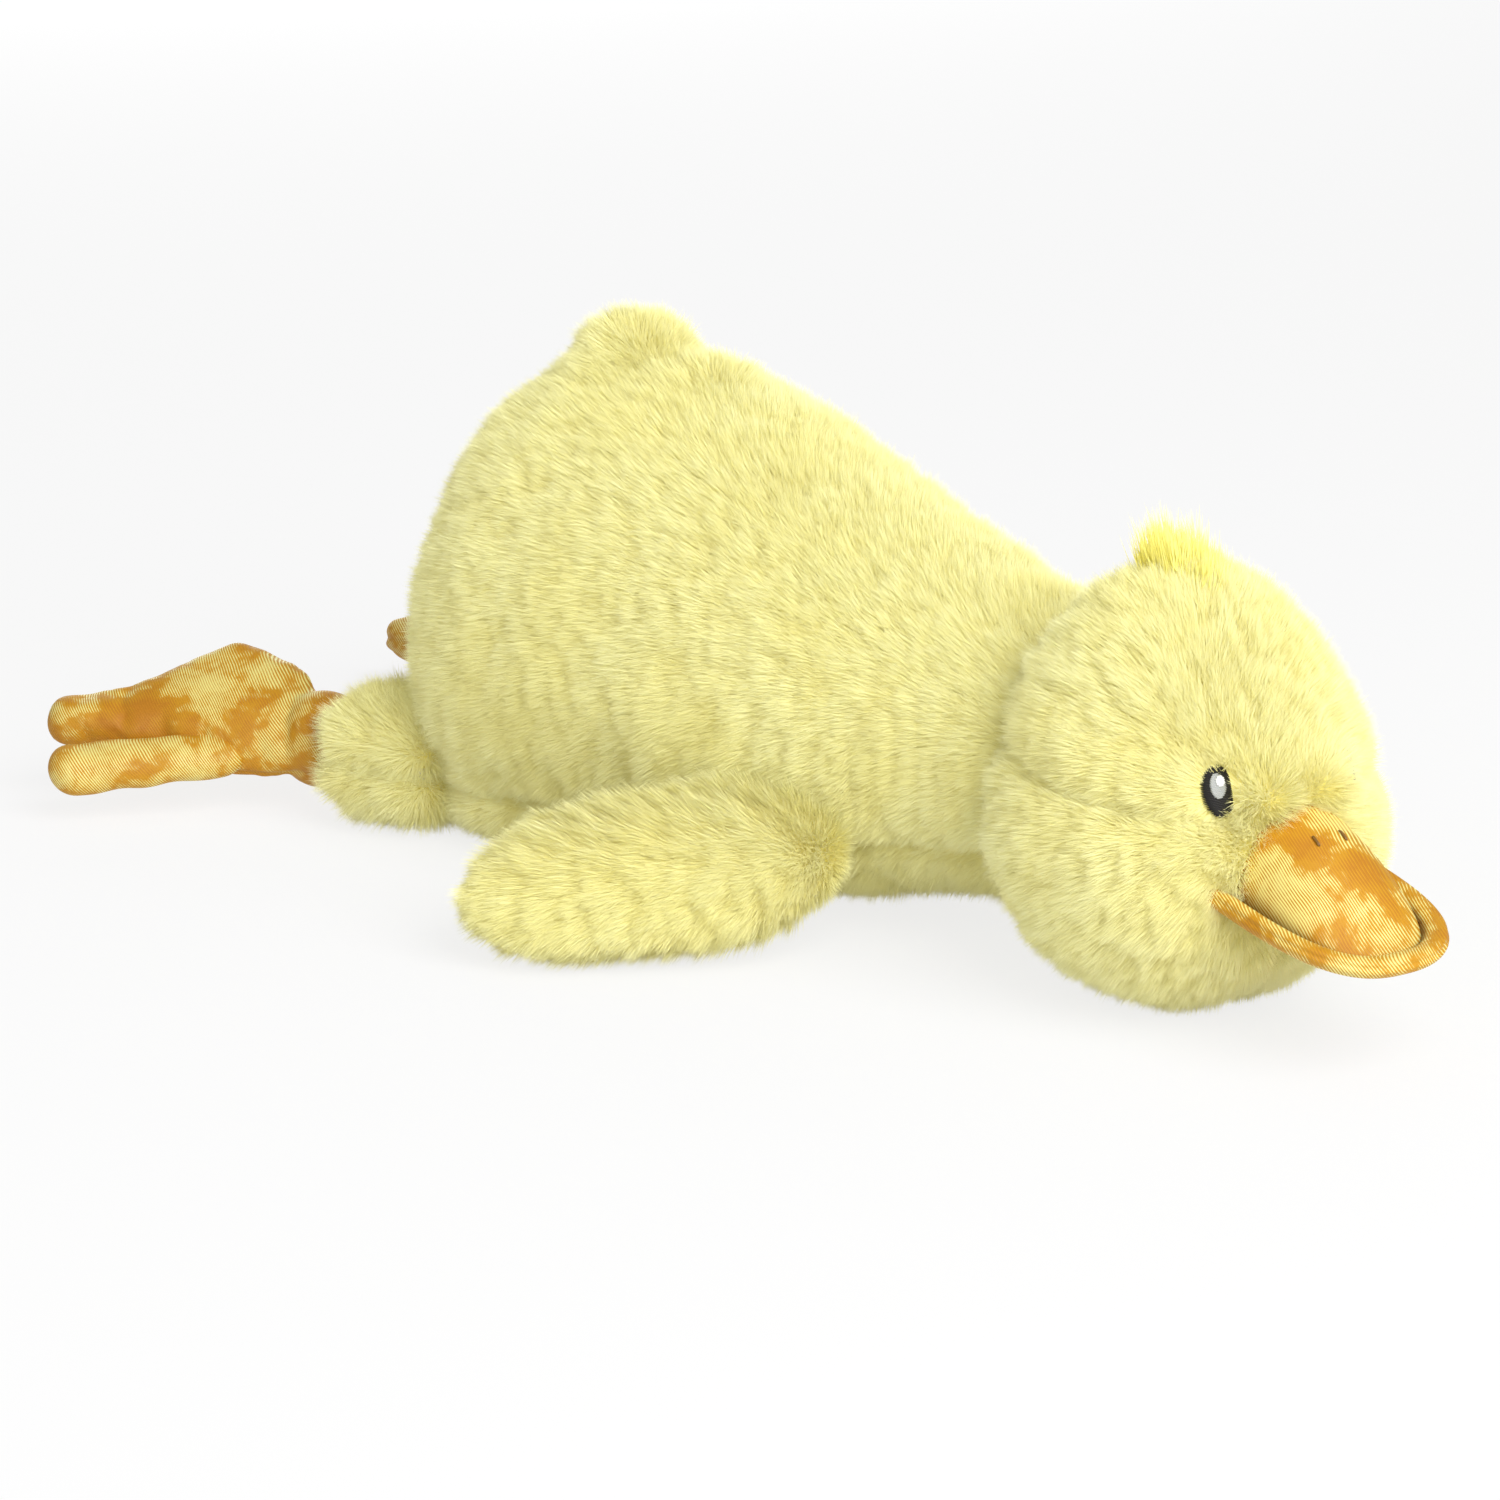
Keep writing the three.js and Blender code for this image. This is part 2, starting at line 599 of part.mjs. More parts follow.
const toeForm = {
  length: TOE_LENGTH,
  stations: 6,
  around: 8,
  startRound: TOE_ROUND,
  endRound: TOE_ROUND,
  upPower: 2,
  rows: sized(TOE_THICKNESS / 2, TOE_THICKNESS / 2, TOE_WIDTH / 2, [
    { t: 0, up: 0.8, side: 0.8 },
    { t: 1, up: 1, side: 1 },
  ]),
};

// One toe thickens the leaf's tip and one lies apart: each is placed by its tip, its root in the leaf
const LOWER_TOES = [
  { back: 1, aside: 0, under: 2, spread: 0, dip: 0 },
  { back: 7, aside: 23, under: 12, spread: 14, dip: 10 },
];

function footSolid(frame, inset) {
  const heel = ball(ankle, ANKLE_RADIUS - inset, ANKLE_FACES);
  const leaf = solidOf(softForm(leafForm, inset).applyMatrix4(frame));
  return LOWER_TOES.reduce((foot, { back, aside, under, spread, dip }) => {
    const toe = softForm(toeForm, inset).translate(-TOE_LENGTH, 0, 0);
    toe.rotateZ(THREE.MathUtils.degToRad(-spread)).rotateY(THREE.MathUtils.degToRad(dip));
    toe.translate(FOOT_LENGTH - back, -aside, -under);
    return foot.add(solidOf(toe.applyMatrix4(frame)));
  }, leaf.add(heel));
}

function buildLeg(side) {
  const place = side === 'left' ? mirrored : (solid) => solid;
  const cuffSolid = (inset, coarse) => solidOf(softForm(cuffForm, inset, coarse).applyMatrix4(legFrame));
  const cuff = limbSolids(cuffSolid, PLUSH_DEPTH, legFrame, [aroundTrunk, belowFloor, ankleSocket]);
  addPiece(`${side}_cuff_top`, place(cuff.top), 'plush');
  addPiece(`${side}_cuff_under`, place(cuff.under), 'plush');
  addPiece(`${side}_cuff_filling`, place(cuff.filling), 'filling');
  const along = point(-cos(TOE_OUT[side]), -sin(TOE_OUT[side]), 0);
  const outward = point(0, 0, 1).cross(along);
  const across = outward.negate().multiplyScalar(cos(FOOT_TILT[side])).add(point(0, 0, sin(FOOT_TILT[side])));
  const frame = frameOf(ankle.clone().add(point(0, 0, FOOT_RISE[side])), along, across);
  const foot = limbSolids((inset) => footSolid(frame, inset), VELVET_DEPTH, frame, [belowFloor]);
  addPiece(`${side}_foot_top`, place(foot.top), 'velvet');
  addPiece(`${side}_foot_sole`, place(foot.under), 'velvet');
  addPiece(`${side}_foot_filling`, place(foot.filling), 'filling');
}

buildTrunk();
buildHead();
buildEyes();
buildBill();
buildTuft();
buildWings();
buildLeg('right');
buildLeg('left');

// The part's middle, under its whole box, is its origin
const box = new THREE.Box3().setFromObject(duck);
duck.position.x = -(box.min.x + box.max.x) / 2;

export default duck;
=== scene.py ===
"""A plush duck that lies on its belly: fur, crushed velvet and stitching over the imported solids.

Sizes are in millimetres in the duck's own frame, which starts at the trunk's rear: +X runs to the
bill, +Y to the duck's left and +Z up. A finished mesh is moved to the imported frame, which starts
under the middle of the duck's whole box, in metres.
"""

import json
import logging
import math
from collections.abc import Callable, Iterable
from dataclasses import dataclass, field
from enum import Enum

import bmesh
import bpy
import numpy as np
from mathutils import Matrix, Vector
from mathutils.bvhtree import BVHTree

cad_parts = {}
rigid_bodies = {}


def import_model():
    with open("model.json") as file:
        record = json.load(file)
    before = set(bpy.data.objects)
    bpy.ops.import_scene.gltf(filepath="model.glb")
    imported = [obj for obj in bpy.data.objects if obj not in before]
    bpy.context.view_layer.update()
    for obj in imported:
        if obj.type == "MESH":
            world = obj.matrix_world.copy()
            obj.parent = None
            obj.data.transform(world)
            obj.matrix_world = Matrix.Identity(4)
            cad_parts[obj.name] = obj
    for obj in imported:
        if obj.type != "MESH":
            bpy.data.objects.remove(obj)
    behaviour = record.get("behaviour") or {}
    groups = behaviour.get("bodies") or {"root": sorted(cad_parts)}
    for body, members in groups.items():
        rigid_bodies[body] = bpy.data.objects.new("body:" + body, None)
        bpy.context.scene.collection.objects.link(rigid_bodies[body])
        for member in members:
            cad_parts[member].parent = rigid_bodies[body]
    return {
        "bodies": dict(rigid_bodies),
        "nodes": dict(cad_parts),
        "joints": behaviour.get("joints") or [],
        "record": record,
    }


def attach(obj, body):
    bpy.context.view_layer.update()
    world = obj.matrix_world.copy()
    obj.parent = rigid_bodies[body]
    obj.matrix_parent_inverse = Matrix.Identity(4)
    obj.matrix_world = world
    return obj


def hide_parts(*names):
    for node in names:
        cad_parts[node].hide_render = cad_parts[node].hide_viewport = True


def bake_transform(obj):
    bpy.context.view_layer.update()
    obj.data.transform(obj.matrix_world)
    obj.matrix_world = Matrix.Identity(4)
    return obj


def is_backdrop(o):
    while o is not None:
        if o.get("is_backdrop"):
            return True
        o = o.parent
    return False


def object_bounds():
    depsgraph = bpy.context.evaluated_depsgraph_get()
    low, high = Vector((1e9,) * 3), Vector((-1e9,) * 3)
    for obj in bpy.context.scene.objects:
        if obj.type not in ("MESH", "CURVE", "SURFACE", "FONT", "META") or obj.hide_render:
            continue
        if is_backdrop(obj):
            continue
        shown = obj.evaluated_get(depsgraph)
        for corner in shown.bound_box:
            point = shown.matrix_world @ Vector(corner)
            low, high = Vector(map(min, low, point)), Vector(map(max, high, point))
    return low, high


LOG = logging.getLogger("duck")
MM = 0.001
MIDDLE_X = 132.168
TO_FRAME = Matrix.Scale(MM, 4) @ Matrix.Translation((-MIDDLE_X, 0, 0))
Plane = tuple[Vector, Vector]
Field = Callable[[np.ndarray], np.ndarray]

# Pile is thin where it lies lower than ON_FLOOR, and short lower than NEAR_FLOOR
ON_FLOOR = 1.6
NEAR_FLOOR = 3.0


class Side(Enum):
    """A side of the duck, with the sign of its Y."""

    RIGHT = -1
    LEFT = 1

    @property
    def label(self) -> str:
        """The side's word in the names of its pieces."""
        return self.name.lower()


def cosine(degrees: float) -> float:
    """The cosine of an angle in degrees."""
    return math.cos(math.radians(degrees))


def sine(degrees: float) -> float:
    """The sine of an angle in degrees."""
    return math.sin(math.radians(degrees))


def linear(red: float, green: float, blue: float) -> tuple[float, float, float, float]:
    """A colour as it looks on a screen, from 0 to 255, as the values that a shader takes.

    Args:
        red: The red part.
        green: The green part.
        blue: The blue part.

    Returns:
        The linear red, green, blue and alpha.
    """
    def channel(value: float) -> float:
        """One part of the colour, without the screen's curve."""
        share = value / 255
        return share / 12.92 if share <= 0.04045 else ((share + 0.055) / 1.055) ** 2.4

    return channel(red), channel(green), channel(blue), 1.0


def frame_of(origin: Vector, along: Vector, across: Vector) -> Matrix:
    """The frame of a piece: its own X points along, and its own Y across as nearly as it can.

    Args:
        origin: Where the frame lies.
        along: The direction of its X.
        across: The direction near its Y.

    Returns:
        The matrix from the piece's frame to the duck's.
    """
    x = along.normalized()
    z = x.cross(across).normalized()
    frame = Matrix((x, z.cross(x), z)).transposed().to_4x4()
    frame.translation = origin
    return frame


# Node trees


class Value:
    """A socket that adds Math or Vector Math nodes to its tree when it is used in an expression."""

    def __init__(self, tree: "Tree", socket: bpy.types.NodeSocket) -> None:
        """Wraps one output socket of a tree."""
        self.tree = tree
        self.socket = socket

    def _join(self, operation: str, first: object, second: object) -> "Value":
        """Adds the node for one operation on two values or numbers."""
        vector = any(
            isinstance(v, (tuple, Vector)) or (isinstance(v, Value) and v.socket.type == "VECTOR")
            for v in (first, second)
        )
        kind = "ShaderNodeVectorMath" if vector else "ShaderNodeMath"
        return self.tree.out(kind, {"operation": operation}, {0: first, 1: second})

    def __add__(self, other: object) -> "Value":
        """self + other."""
        return self._join("ADD", self, other)

    def __radd__(self, other: object) -> "Value":
        """other + self."""
        return self._join("ADD", other, self)

    def __sub__(self, other: object) -> "Value":
        """self - other."""
        return self._join("SUBTRACT", self, other)

    def __rsub__(self, other: object) -> "Value":
        """other - self."""
        return self._join("SUBTRACT", other, self)

    def __mul__(self, other: object) -> "Value":
        """self * other."""
        return self._join("MULTIPLY", self, other)

    def __truediv__(self, other: object) -> "Value":
        """self / other."""
        return self._join("DIVIDE", self, other)

    def clamped(self) -> "Value":
        """The value, kept between 0 and 1."""
        return self.tree.out("ShaderNodeClamp", {}, {0: self})


class Tree:
    """A node tree, shader or geometry, that is written as calls and expressions."""

    def __init__(self, nodes: bpy.types.NodeTree) -> None:
        """Wraps a tree of Blender's."""
        self.nodes = nodes

    def node(self, kind: str, settings: dict | None = None, values: dict | None = None) -> bpy.types.Node:
        """Adds a node.

        Args:
            kind: The node's type.
            settings: Its own settings, which are set first. Stops are a ramp's places and colours.
            values: What goes to its sockets, by name or number: a Value, a number or a colour.

        Returns:
            The node.
        """
        node = self.nodes.nodes.new(kind)
        for name, setting in (settings or {}).items():
            if name == "stops":
                ramp = node.color_ramp
                for spare in list(ramp.elements)[1:]:
                    ramp.elements.remove(spare)
                for i, (place, colour) in enumerate(setting):
                    stop = ramp.elements[0] if i == 0 else ramp.elements.new(place)
                    stop.position = place
                    stop.color = colour
            else:
                setattr(node, name, setting)
        for name, value in (values or {}).items():
            self.put(node.inputs[name], value)
        return node

    def put(self, socket: bpy.types.NodeSocket, value: object) -> None:
        """Links a Value to a socket, or sets the socket's own number.

        Args:
            socket: The input socket.
            value: What it takes.
        """
        if isinstance(value, Value):
            self.nodes.links.new(value.socket, socket)
        elif socket.type in {"VECTOR", "RGBA"} and isinstance(value, (int, float)):
            socket.default_value = (value,) * len(socket.default_value)
        else:
            socket.default_value = value

    def out(self, kind: str, settings: dict | None = None, values: dict | None = None,
            output: int | str = 0) -> Value:
        """Adds a node and gives one of its outputs.

        Args:
            kind: The node's type.
            settings: Its own settings.
            values: What goes to its sockets.
            output: The output's name or number.

        Returns:
            The output.
        """
        return Value(self, self.node(kind, settings, values).outputs[output])

    def mixed(self, factor: object, first: object, second: object) -> Value:
        """A colour that goes from the first to the second.

        Args:
            factor: 0 for the first, 1 for the second.
            first: A colour.
            second: A colour.

        Returns:
            The mixed colour.
        """
        return self.out("ShaderNodeMix", {"data_type": "RGBA"}, {0: factor, 6: first, 7: second}, 2)

    def ramp(self, factor: Value, low: float, high: float) -> Value:
        """A value that rises from 0 at low to 1 at high, smoothly.

        Args:
            factor: The value to read.
            low: Where the rise starts.
            high: Where it ends.

        Returns:
            The share of the rise.
        """
        return self.out("ShaderNodeMapRange", {"interpolation_type": "SMOOTHSTEP"},
                        {"Value": factor, "From Min": low, "From Max": high})

    def noise(self, place: Value, scale: float, detail: float = 2.0, roughness: float = 0.5,
              output: str = "Fac", distortion: float = 0.0) -> Value:
        """Noise at a place.

        Args:
            place: The coordinates.
            scale: The number of grains to a metre.
            detail: How many finer layers it has.
            roughness: How strong these are.
            output: Fac for a value or Color for three.
            distortion: How far the pattern is bent.

        Returns:
            The noise.
        """
        values = {"Vector": place, "Scale": scale, "Detail": detail, "Roughness": roughness,
                  "Distortion": distortion}
        return self.out("ShaderNodeTexNoise", {}, values, output)


class GeometryTree(Tree):
    """A Geometry Nodes group that takes a geometry and gives one back."""

    def __init__(self, name: str, inputs: dict[str, str]) -> None:
        """Makes the group.

        Args:
            name: Its name.
            inputs: The kind of each further input, by the input's name.
        """
        super().__init__(bpy.data.node_groups.new(name, "GeometryNodeTree"))
        face = self.nodes.interface
        face.new_socket("Geometry", in_out="OUTPUT", socket_type="NodeSocketGeometry")
        face.new_socket("Geometry", in_out="INPUT", socket_type="NodeSocketGeometry")
        self.keys = {
            label: face.new_socket(label, in_out="INPUT", socket_type="NodeSocket" + kind).identifier
            for label, kind in inputs.items()
        }
        given = self.nodes.nodes.new("NodeGroupInput")
        self.inlet = {socket.name: Value(self, socket) for socket in given.outputs if socket.name}

    def give(self, result: Value) -> None:
        """Makes a geometry the group's result."""
        end = self.nodes.nodes.new("NodeGroupOutput")
        self.nodes.links.new(result.socket, end.inputs[0])

    def run(self, made: bpy.types.Object, values: dict[str, object]) -> bpy.types.Object:
        """Runs the group on an object and keeps what comes out.

        Args:
            made: The object.
            values: What goes to the inputs, by their names.

        Returns:
            The same object.
        """
        step = made.modifiers.new("Group", "NODES")
        step.node_group = self.nodes
        for label, value in values.items():
            step[self.keys[label]] = value
        return settle(made)


# Finishes


class Finish:
    """What all finishes share: a material with one main shader."""

    name: str

    def make(self) -> bpy.types.Material:
        """Builds the material.

        Returns:
            The material, with its nodes.
        """
        material = bpy.data.materials.new(self.name)
        material.use_nodes = True
        nodes = material.node_tree
        shader = nodes.nodes["Principled BSDF"]
        tree = Tree(nodes)
        place = tree.out("ShaderNodeTexCoord", output="Object")
        self.paint(tree, shader, place)
        return material

    def paint(self, tree: Tree, shader: bpy.types.Node, place: Value) -> None:
        """Sets the shader and what feeds it.

        Args:
            tree: The material's tree.
            shader: Its Principled shader.
            place: The object's own coordinates, in metres.
        """
        raise NotImplementedError


@dataclass(frozen=True)
class FurFinish(Finish):
    """Dense pile with painted shade: deeper in colour at its roots and in the valleys between its ridges,
    with slow changes from patch to patch.
    """

    name: str
    # deep is painted shade: the colour of the roots and of the valleys in the pile
    deep: tuple[float, float, float, float]
    pale: tuple[float, float, float, float]
    patch: tuple[float, float, float, float]
    patch_share: float = 0.5
    roughness: float = 0.85
    sheen: float = 0.3
    # glow is painted light: the strength at which the pile glows in its own colour
    glow: float = 0.03

    def paint(self, tree: Tree, shader: bpy.types.Node, place: Value) -> None:
        """Colours the strands from root to tip, with painted shade at the roots and a faint painted glow
        that lifts the pile.
        """
        along = tree.out("ShaderNodeAttribute", {"attribute_name": "along"}, output="Fac")
        tone = tree.out("ShaderNodeAttribute", {"attribute_name": "tone"}, output="Fac")
        # Painted shade: strands are deeper toward their roots and in the pile's valleys, with a random tone
        # as well
        share = (along * 0.6 + tone * 0.45 + 0.02).clamped()
        colour = tree.mixed(share, self.deep, self.pale)
        slow = tree.ramp(tree.noise(place, 28, 3.0, 0.6), 0.4, 0.72)
        whole = tree.mixed(slow * self.patch_share, colour, self.patch)
        tree.put(shader.inputs["Base Color"], whole)
        # Painted light: the pile glows faintly in its own colour, which lifts its shade
        tree.put(shader.inputs["Emission Color"], whole)
        shader.inputs["Emission Strength"].default_value = self.glow
        shader.inputs["Roughness"].default_value = self.roughness
        shader.inputs["Specular IOR Level"].default_value = 0.2
        shader.inputs["Sheen Weight"].default_value = self.sheen
        shader.inputs["Sheen Roughness"].default_value = 0.6


@dataclass(frozen=True)
class VelvetFinish(Finish):
    """Crushed velvet: ragged patches of bright and deep pile over fine ribs, where the bright patches are
    painted sheen.
    """

    name: str
    deep: tuple[float, float, float, float]
    middle: tuple[float, float, float, float]
    # bright is painted sheen: the pale colour of the crushed pile's shine
    bright: tuple[float, float, float, float]
    # shade is painted shade in the crease between the bill's dome and its lip
    shade: tuple[float, float, float, float]
    patch_scale: float = 60.0
    rib_pitch: float = 0.00085

    def paint(self, tree: Tree, shader: bpy.types.Node, place: Value) -> None:
        """Colours the patches, with painted sheen on the bright ones, paints shade into the creases,
        hatches their edges and raises the ribs.
        """
        drift = tree.noise(place, 45, 2.0, 0.5, "Color") - (0.5, 0.5, 0.5)
        bent = place + drift * (0.010, 0.010, 0.010)
        patches = tree.noise(bent, self.patch_scale, 3.0, 0.55)
        fleck = tree.noise(bent, self.patch_scale * 5, 2.0, 0.5)
        ribs = tree.out(
            "ShaderNodeTexWave", {"wave_type": "BANDS", "bands_direction": "DIAGONAL"},
            {"Vector": place + drift * (0.003, 0.003, 0.003), "Scale": 0.444 / self.rib_pitch,
             "Distortion": 0.3, "Detail": 1.0}, "Fac",
        )
        hatch = (ribs - 0.5) * 0.2 + (fleck - 0.5) * 0.26
        # Painted sheen: the bright patches, broken into lines along the ribs, stand in for the pile's shine
        bright = tree.ramp(patches + hatch, 0.54, 0.62) * (0.25 + ribs * 0.75)
        deep = tree.ramp(patches - hatch, 0.46, 0.33)
        colour = tree.mixed(bright, tree.mixed(deep, self.middle, self.deep), self.bright)
        # Painted shade: darker where the crease attribute marks the groove between the dome and the lip
        crease = tree.out("ShaderNodeAttribute", {"attribute_name": "crease"}, output="Fac")
        tree.put(shader.inputs["Base Color"], tree.mixed(crease * 0.8, colour, self.shade))
        tree.put(shader.inputs["Roughness"], 0.6 - bright * 0.2)
        height = ribs * 0.2 + patches * 0.8
        bump = tree.out("ShaderNodeBump", {}, {"Strength": 0.4, "Distance": 0.0008, "Height": height})
        tree.put(shader.inputs["Normal"], bump)
        shader.inputs["Sheen Weight"].default_value = 0.25
        shader.inputs["Sheen Roughness"].default_value = 0.35
        shader.inputs["Sheen Tint"].default_value = linear(255, 240, 150)


@dataclass(frozen=True)
class ThreadFinish(Finish):
    """Twisted thread, whose turns show as fine slanting lines, with painted shade between them."""

    name: str
    colour: tuple[float, float, float, float]
    shade: tuple[float, float, float, float]
    roughness: float = 0.45

    def paint(self, tree: Tree, shader: bpy.types.Node, place: Value) -> None:
        """Colours the turns of the thread, with painted shade between them."""
        turns = tree.out(
            "ShaderNodeTexWave", {"wave_type": "BANDS", "bands_direction": "DIAGONAL"},
            {"Vector": place, "Scale": 900.0, "Distortion": 1.5}, "Fac",
        )
        # Painted shade: the darker colour in the lines between the thread's turns
        tree.put(shader.inputs["Base Color"], tree.mixed(turns * 0.6, self.colour, self.shade))
        bump = tree.out("ShaderNodeBump", {}, {"Strength": 0.3, "Distance": 0.0001, "Height": turns})
        tree.put(shader.inputs["Normal"], bump)
        shader.inputs["Roughness"].default_value = self.roughness


@dataclass(frozen=True)
class FibreFinish(Finish):
    """Loose white filling."""

    name: str

    def paint(self, tree: Tree, shader: bpy.types.Node, place: Value) -> None:
        """Gives the fibre its tangled look."""
        tangle = tree.noise(place, 260, 6.0, 0.7, distortion=1.5)
        tree.put(shader.inputs["Base Color"],
                 tree.mixed(tangle, linear(222, 221, 214), linear(250, 250, 247)))
        bump = tree.out("ShaderNodeBump", {}, {"Strength": 0.6, "Distance": 0.001, "Height": tangle})
        tree.put(shader.inputs["Normal"], bump)
        shader.inputs["Roughness"].default_value = 0.95


@dataclass(frozen=True)
class Finishes:
    """Every finish of the duck, as materials."""

    plush: bpy.types.Material
    tuft: bpy.types.Material
    velvet: bpy.types.Material
    filling: bpy.types.Material
    black_thread: bpy.types.Material
    grey_thread: bpy.types.Material
    white_thread: bpy.types.Material
    brown_thread: bpy.types.Material

    @classmethod
    def make(cls) -> "Finishes":
        """Builds all the materials.

        Returns:
            The set of them.
        """
        return cls(
            # Pile colours: the first is painted shade at the roots and in the valleys, the second the tips,
            # the third the slow patches
            FurFinish("butter_plush", linear(247, 236, 142), linear(254, 252, 197),
                      linear(253, 246, 168)).make(),
            FurFinish("lemon_tuft", linear(255, 238, 96), linear(255, 252, 170),
                      linear(255, 245, 120), sheen=0.1).make(),
            # Velvet colours: deep and middle pile, bright painted sheen, and painted shade for the bill's
            # crease
            VelvetFinish("crushed_velvet", linear(186, 120, 4), linear(200, 142, 8),
                         linear(242, 234, 146), linear(92, 54, 8)).make(),
            FibreFinish("loose_fibre").make(),
            ThreadFinish("black_thread", linear(14, 12, 10), linear(32, 28, 25)).make(),
            ThreadFinish("grey_thread", linear(192, 194, 192), linear(150, 152, 152)).make(),
            ThreadFinish("white_thread", linear(250, 250, 250), linear(225, 226, 228)).make(),
            ThreadFinish("brown_thread", linear(140, 98, 36), linear(104, 70, 24)).make(),
        )


# Meshes


def mesh_of(name: str, points: Iterable, faces: Iterable) -> bpy.types.Object:
    """A mesh object in the scene, from points and faces.

    Args:
        name: Its name.
        points: Its points.
        faces: Its faces, as numbers of points.

    Returns:
        The object.
    """
    mesh = bpy.data.meshes.new(name)
    mesh.from_pydata([tuple(p) for p in points], [], [tuple(f) for f in faces])
    made = bpy.data.objects.new(name, mesh)
    bpy.context.scene.collection.objects.link(made)
    return made


def settle(made: bpy.types.Object) -> bpy.types.Object:
    """Makes an object's modifiers part of its mesh.

    Args:
        made: The object.

    Returns:
        The same object.
    """
    graph = bpy.context.evaluated_depsgraph_get()
    mesh = bpy.data.meshes.new_from_object(made.evaluated_get(graph), depsgraph=graph)
    made.modifiers.clear()
    old = made.data
    made.data = mesh
    bpy.data.meshes.remove(old)
    return made


def places(mesh: bpy.types.Mesh) -> np.ndarray:
    """The places of a mesh's points, one row each."""
    found = np.empty(len(mesh.vertices) * 3)
    mesh.vertices.foreach_get("co", found)
    return found.reshape(-1, 3)


def normals(mesh: bpy.types.Mesh) -> np.ndarray:
    """The normals of a mesh's points, one row each."""
    found = np.empty(len(mesh.vertices) * 3)
    mesh.vertex_normals.foreach_get("vector", found)
    return found.reshape(-1, 3)


def place(mesh: bpy.types.Mesh, points: np.ndarray) -> None:
    """Moves a mesh's points to these places."""
    mesh.vertices.foreach_set("co", points.ravel())
    mesh.update()


def copy_of(made: bpy.types.Object, name: str) -> bpy.types.Object:
    """A copy of an object with a mesh of its own."""
    twin = made.copy()
    twin.data = made.data.copy()
    twin.name = name
    bpy.context.scene.collection.objects.link(twin)
    return twin


def outward(made: bpy.types.Object) -> bpy.types.Object:
    """Turns the faces of a closed mesh outward, and gives back the object."""
    work = bmesh.new()
    work.from_mesh(made.data)
    bmesh.ops.recalc_face_normals(work, faces=work.faces[:])
    work.to_mesh(made.data)
    work.free()
    return made


def smooth(mesh: bpy.types.Mesh) -> None:
    """Shades a mesh as one smooth skin."""
    mesh.polygons.foreach_set("use_smooth", [True] * len(mesh.polygons))


def surface_of(made: bpy.types.Object) -> BVHTree:
    """The surface of an object, which goes, for rays."""
    mesh = made.data
    tree = BVHTree.FromPolygons([v.co for v in mesh.vertices], [p.vertices for p in mesh.polygons])
    discard(made)
    return tree


def tube(name: str, rings: list[list[Vector]]) -> bpy.types.Object:
    """A tube through rings with as many points each, closed at both ends.

    Args:
        name: Its name.
        rings: The points of each ring, in order.

    Returns:
        The tube, with its faces outward.
    """
    around, last = len(rings[0]), len(rings) - 1
    faces = [(i * around + k, (i + 1) * around + k, (i + 1) * around + (k + 1) % around,
              i * around + (k + 1) % around) for i in range(last) for k in range(around)]
    faces.append(tuple(range(around)))
    faces.append(tuple(reversed(range(last * around, (last + 1) * around))))
    return outward(mesh_of(name, [point for ring in rings for point in ring], faces))


def discard(made: bpy.types.Object) -> None:
    """Takes an object and its mesh out of the scene."""
    mesh = made.data
    bpy.data.objects.remove(made)
    bpy.data.meshes.remove(mesh)


def mirror(made: bpy.types.Object) -> bpy.types.Object:
    """Mirrors an object from the right side to the left, right side out.

    Args:
        made: The object.

    Returns:
        The same object.
    """
    made.data.transform(Matrix.Scale(-1, 4, (0, 1, 0)))
    made.data.flip_normals()
    return made


def joined(name: str, parts: list[bpy.types.Object]) -> bpy.types.Object:
    """One object from several, which go.

    Args:
        name: The new object's name.
        parts: The objects.

    Returns:
        The new object.
    """
    whole = bmesh.new()
    for part in parts:
        whole.from_mesh(part.data)
    mesh = bpy.data.meshes.new(name)
    whole.to_mesh(mesh)
    whole.free()
    for part in parts:
        discard(part)
    made = bpy.data.objects.new(name, mesh)
    bpy.context.scene.collection.objects.link(made)
    return made


@dataclass(frozen=True)
class Section:
    """A section of a soft form at t, a share of its length, with its reach each way."""

    t: float
    up: float
    down: float
    left: float
    right: float


def sections(above: float, below: float, half_width: float, rows: Iterable[tuple]) -> tuple[Section, ...]:
    """Sections alike to the left and right, from shares of a reach up, down and to each side.

    Args:
        above: The reach up.
        below: The reach down.
        half_width: The reach to each side.
        rows: The t, up, down and side of each section.

    Returns:
        The sections, in millimetres.
    """
    return tuple(
        Section(t, up * above, down * below, side * half_width, side * half_width)
        for t, up, down, side in rows
    )


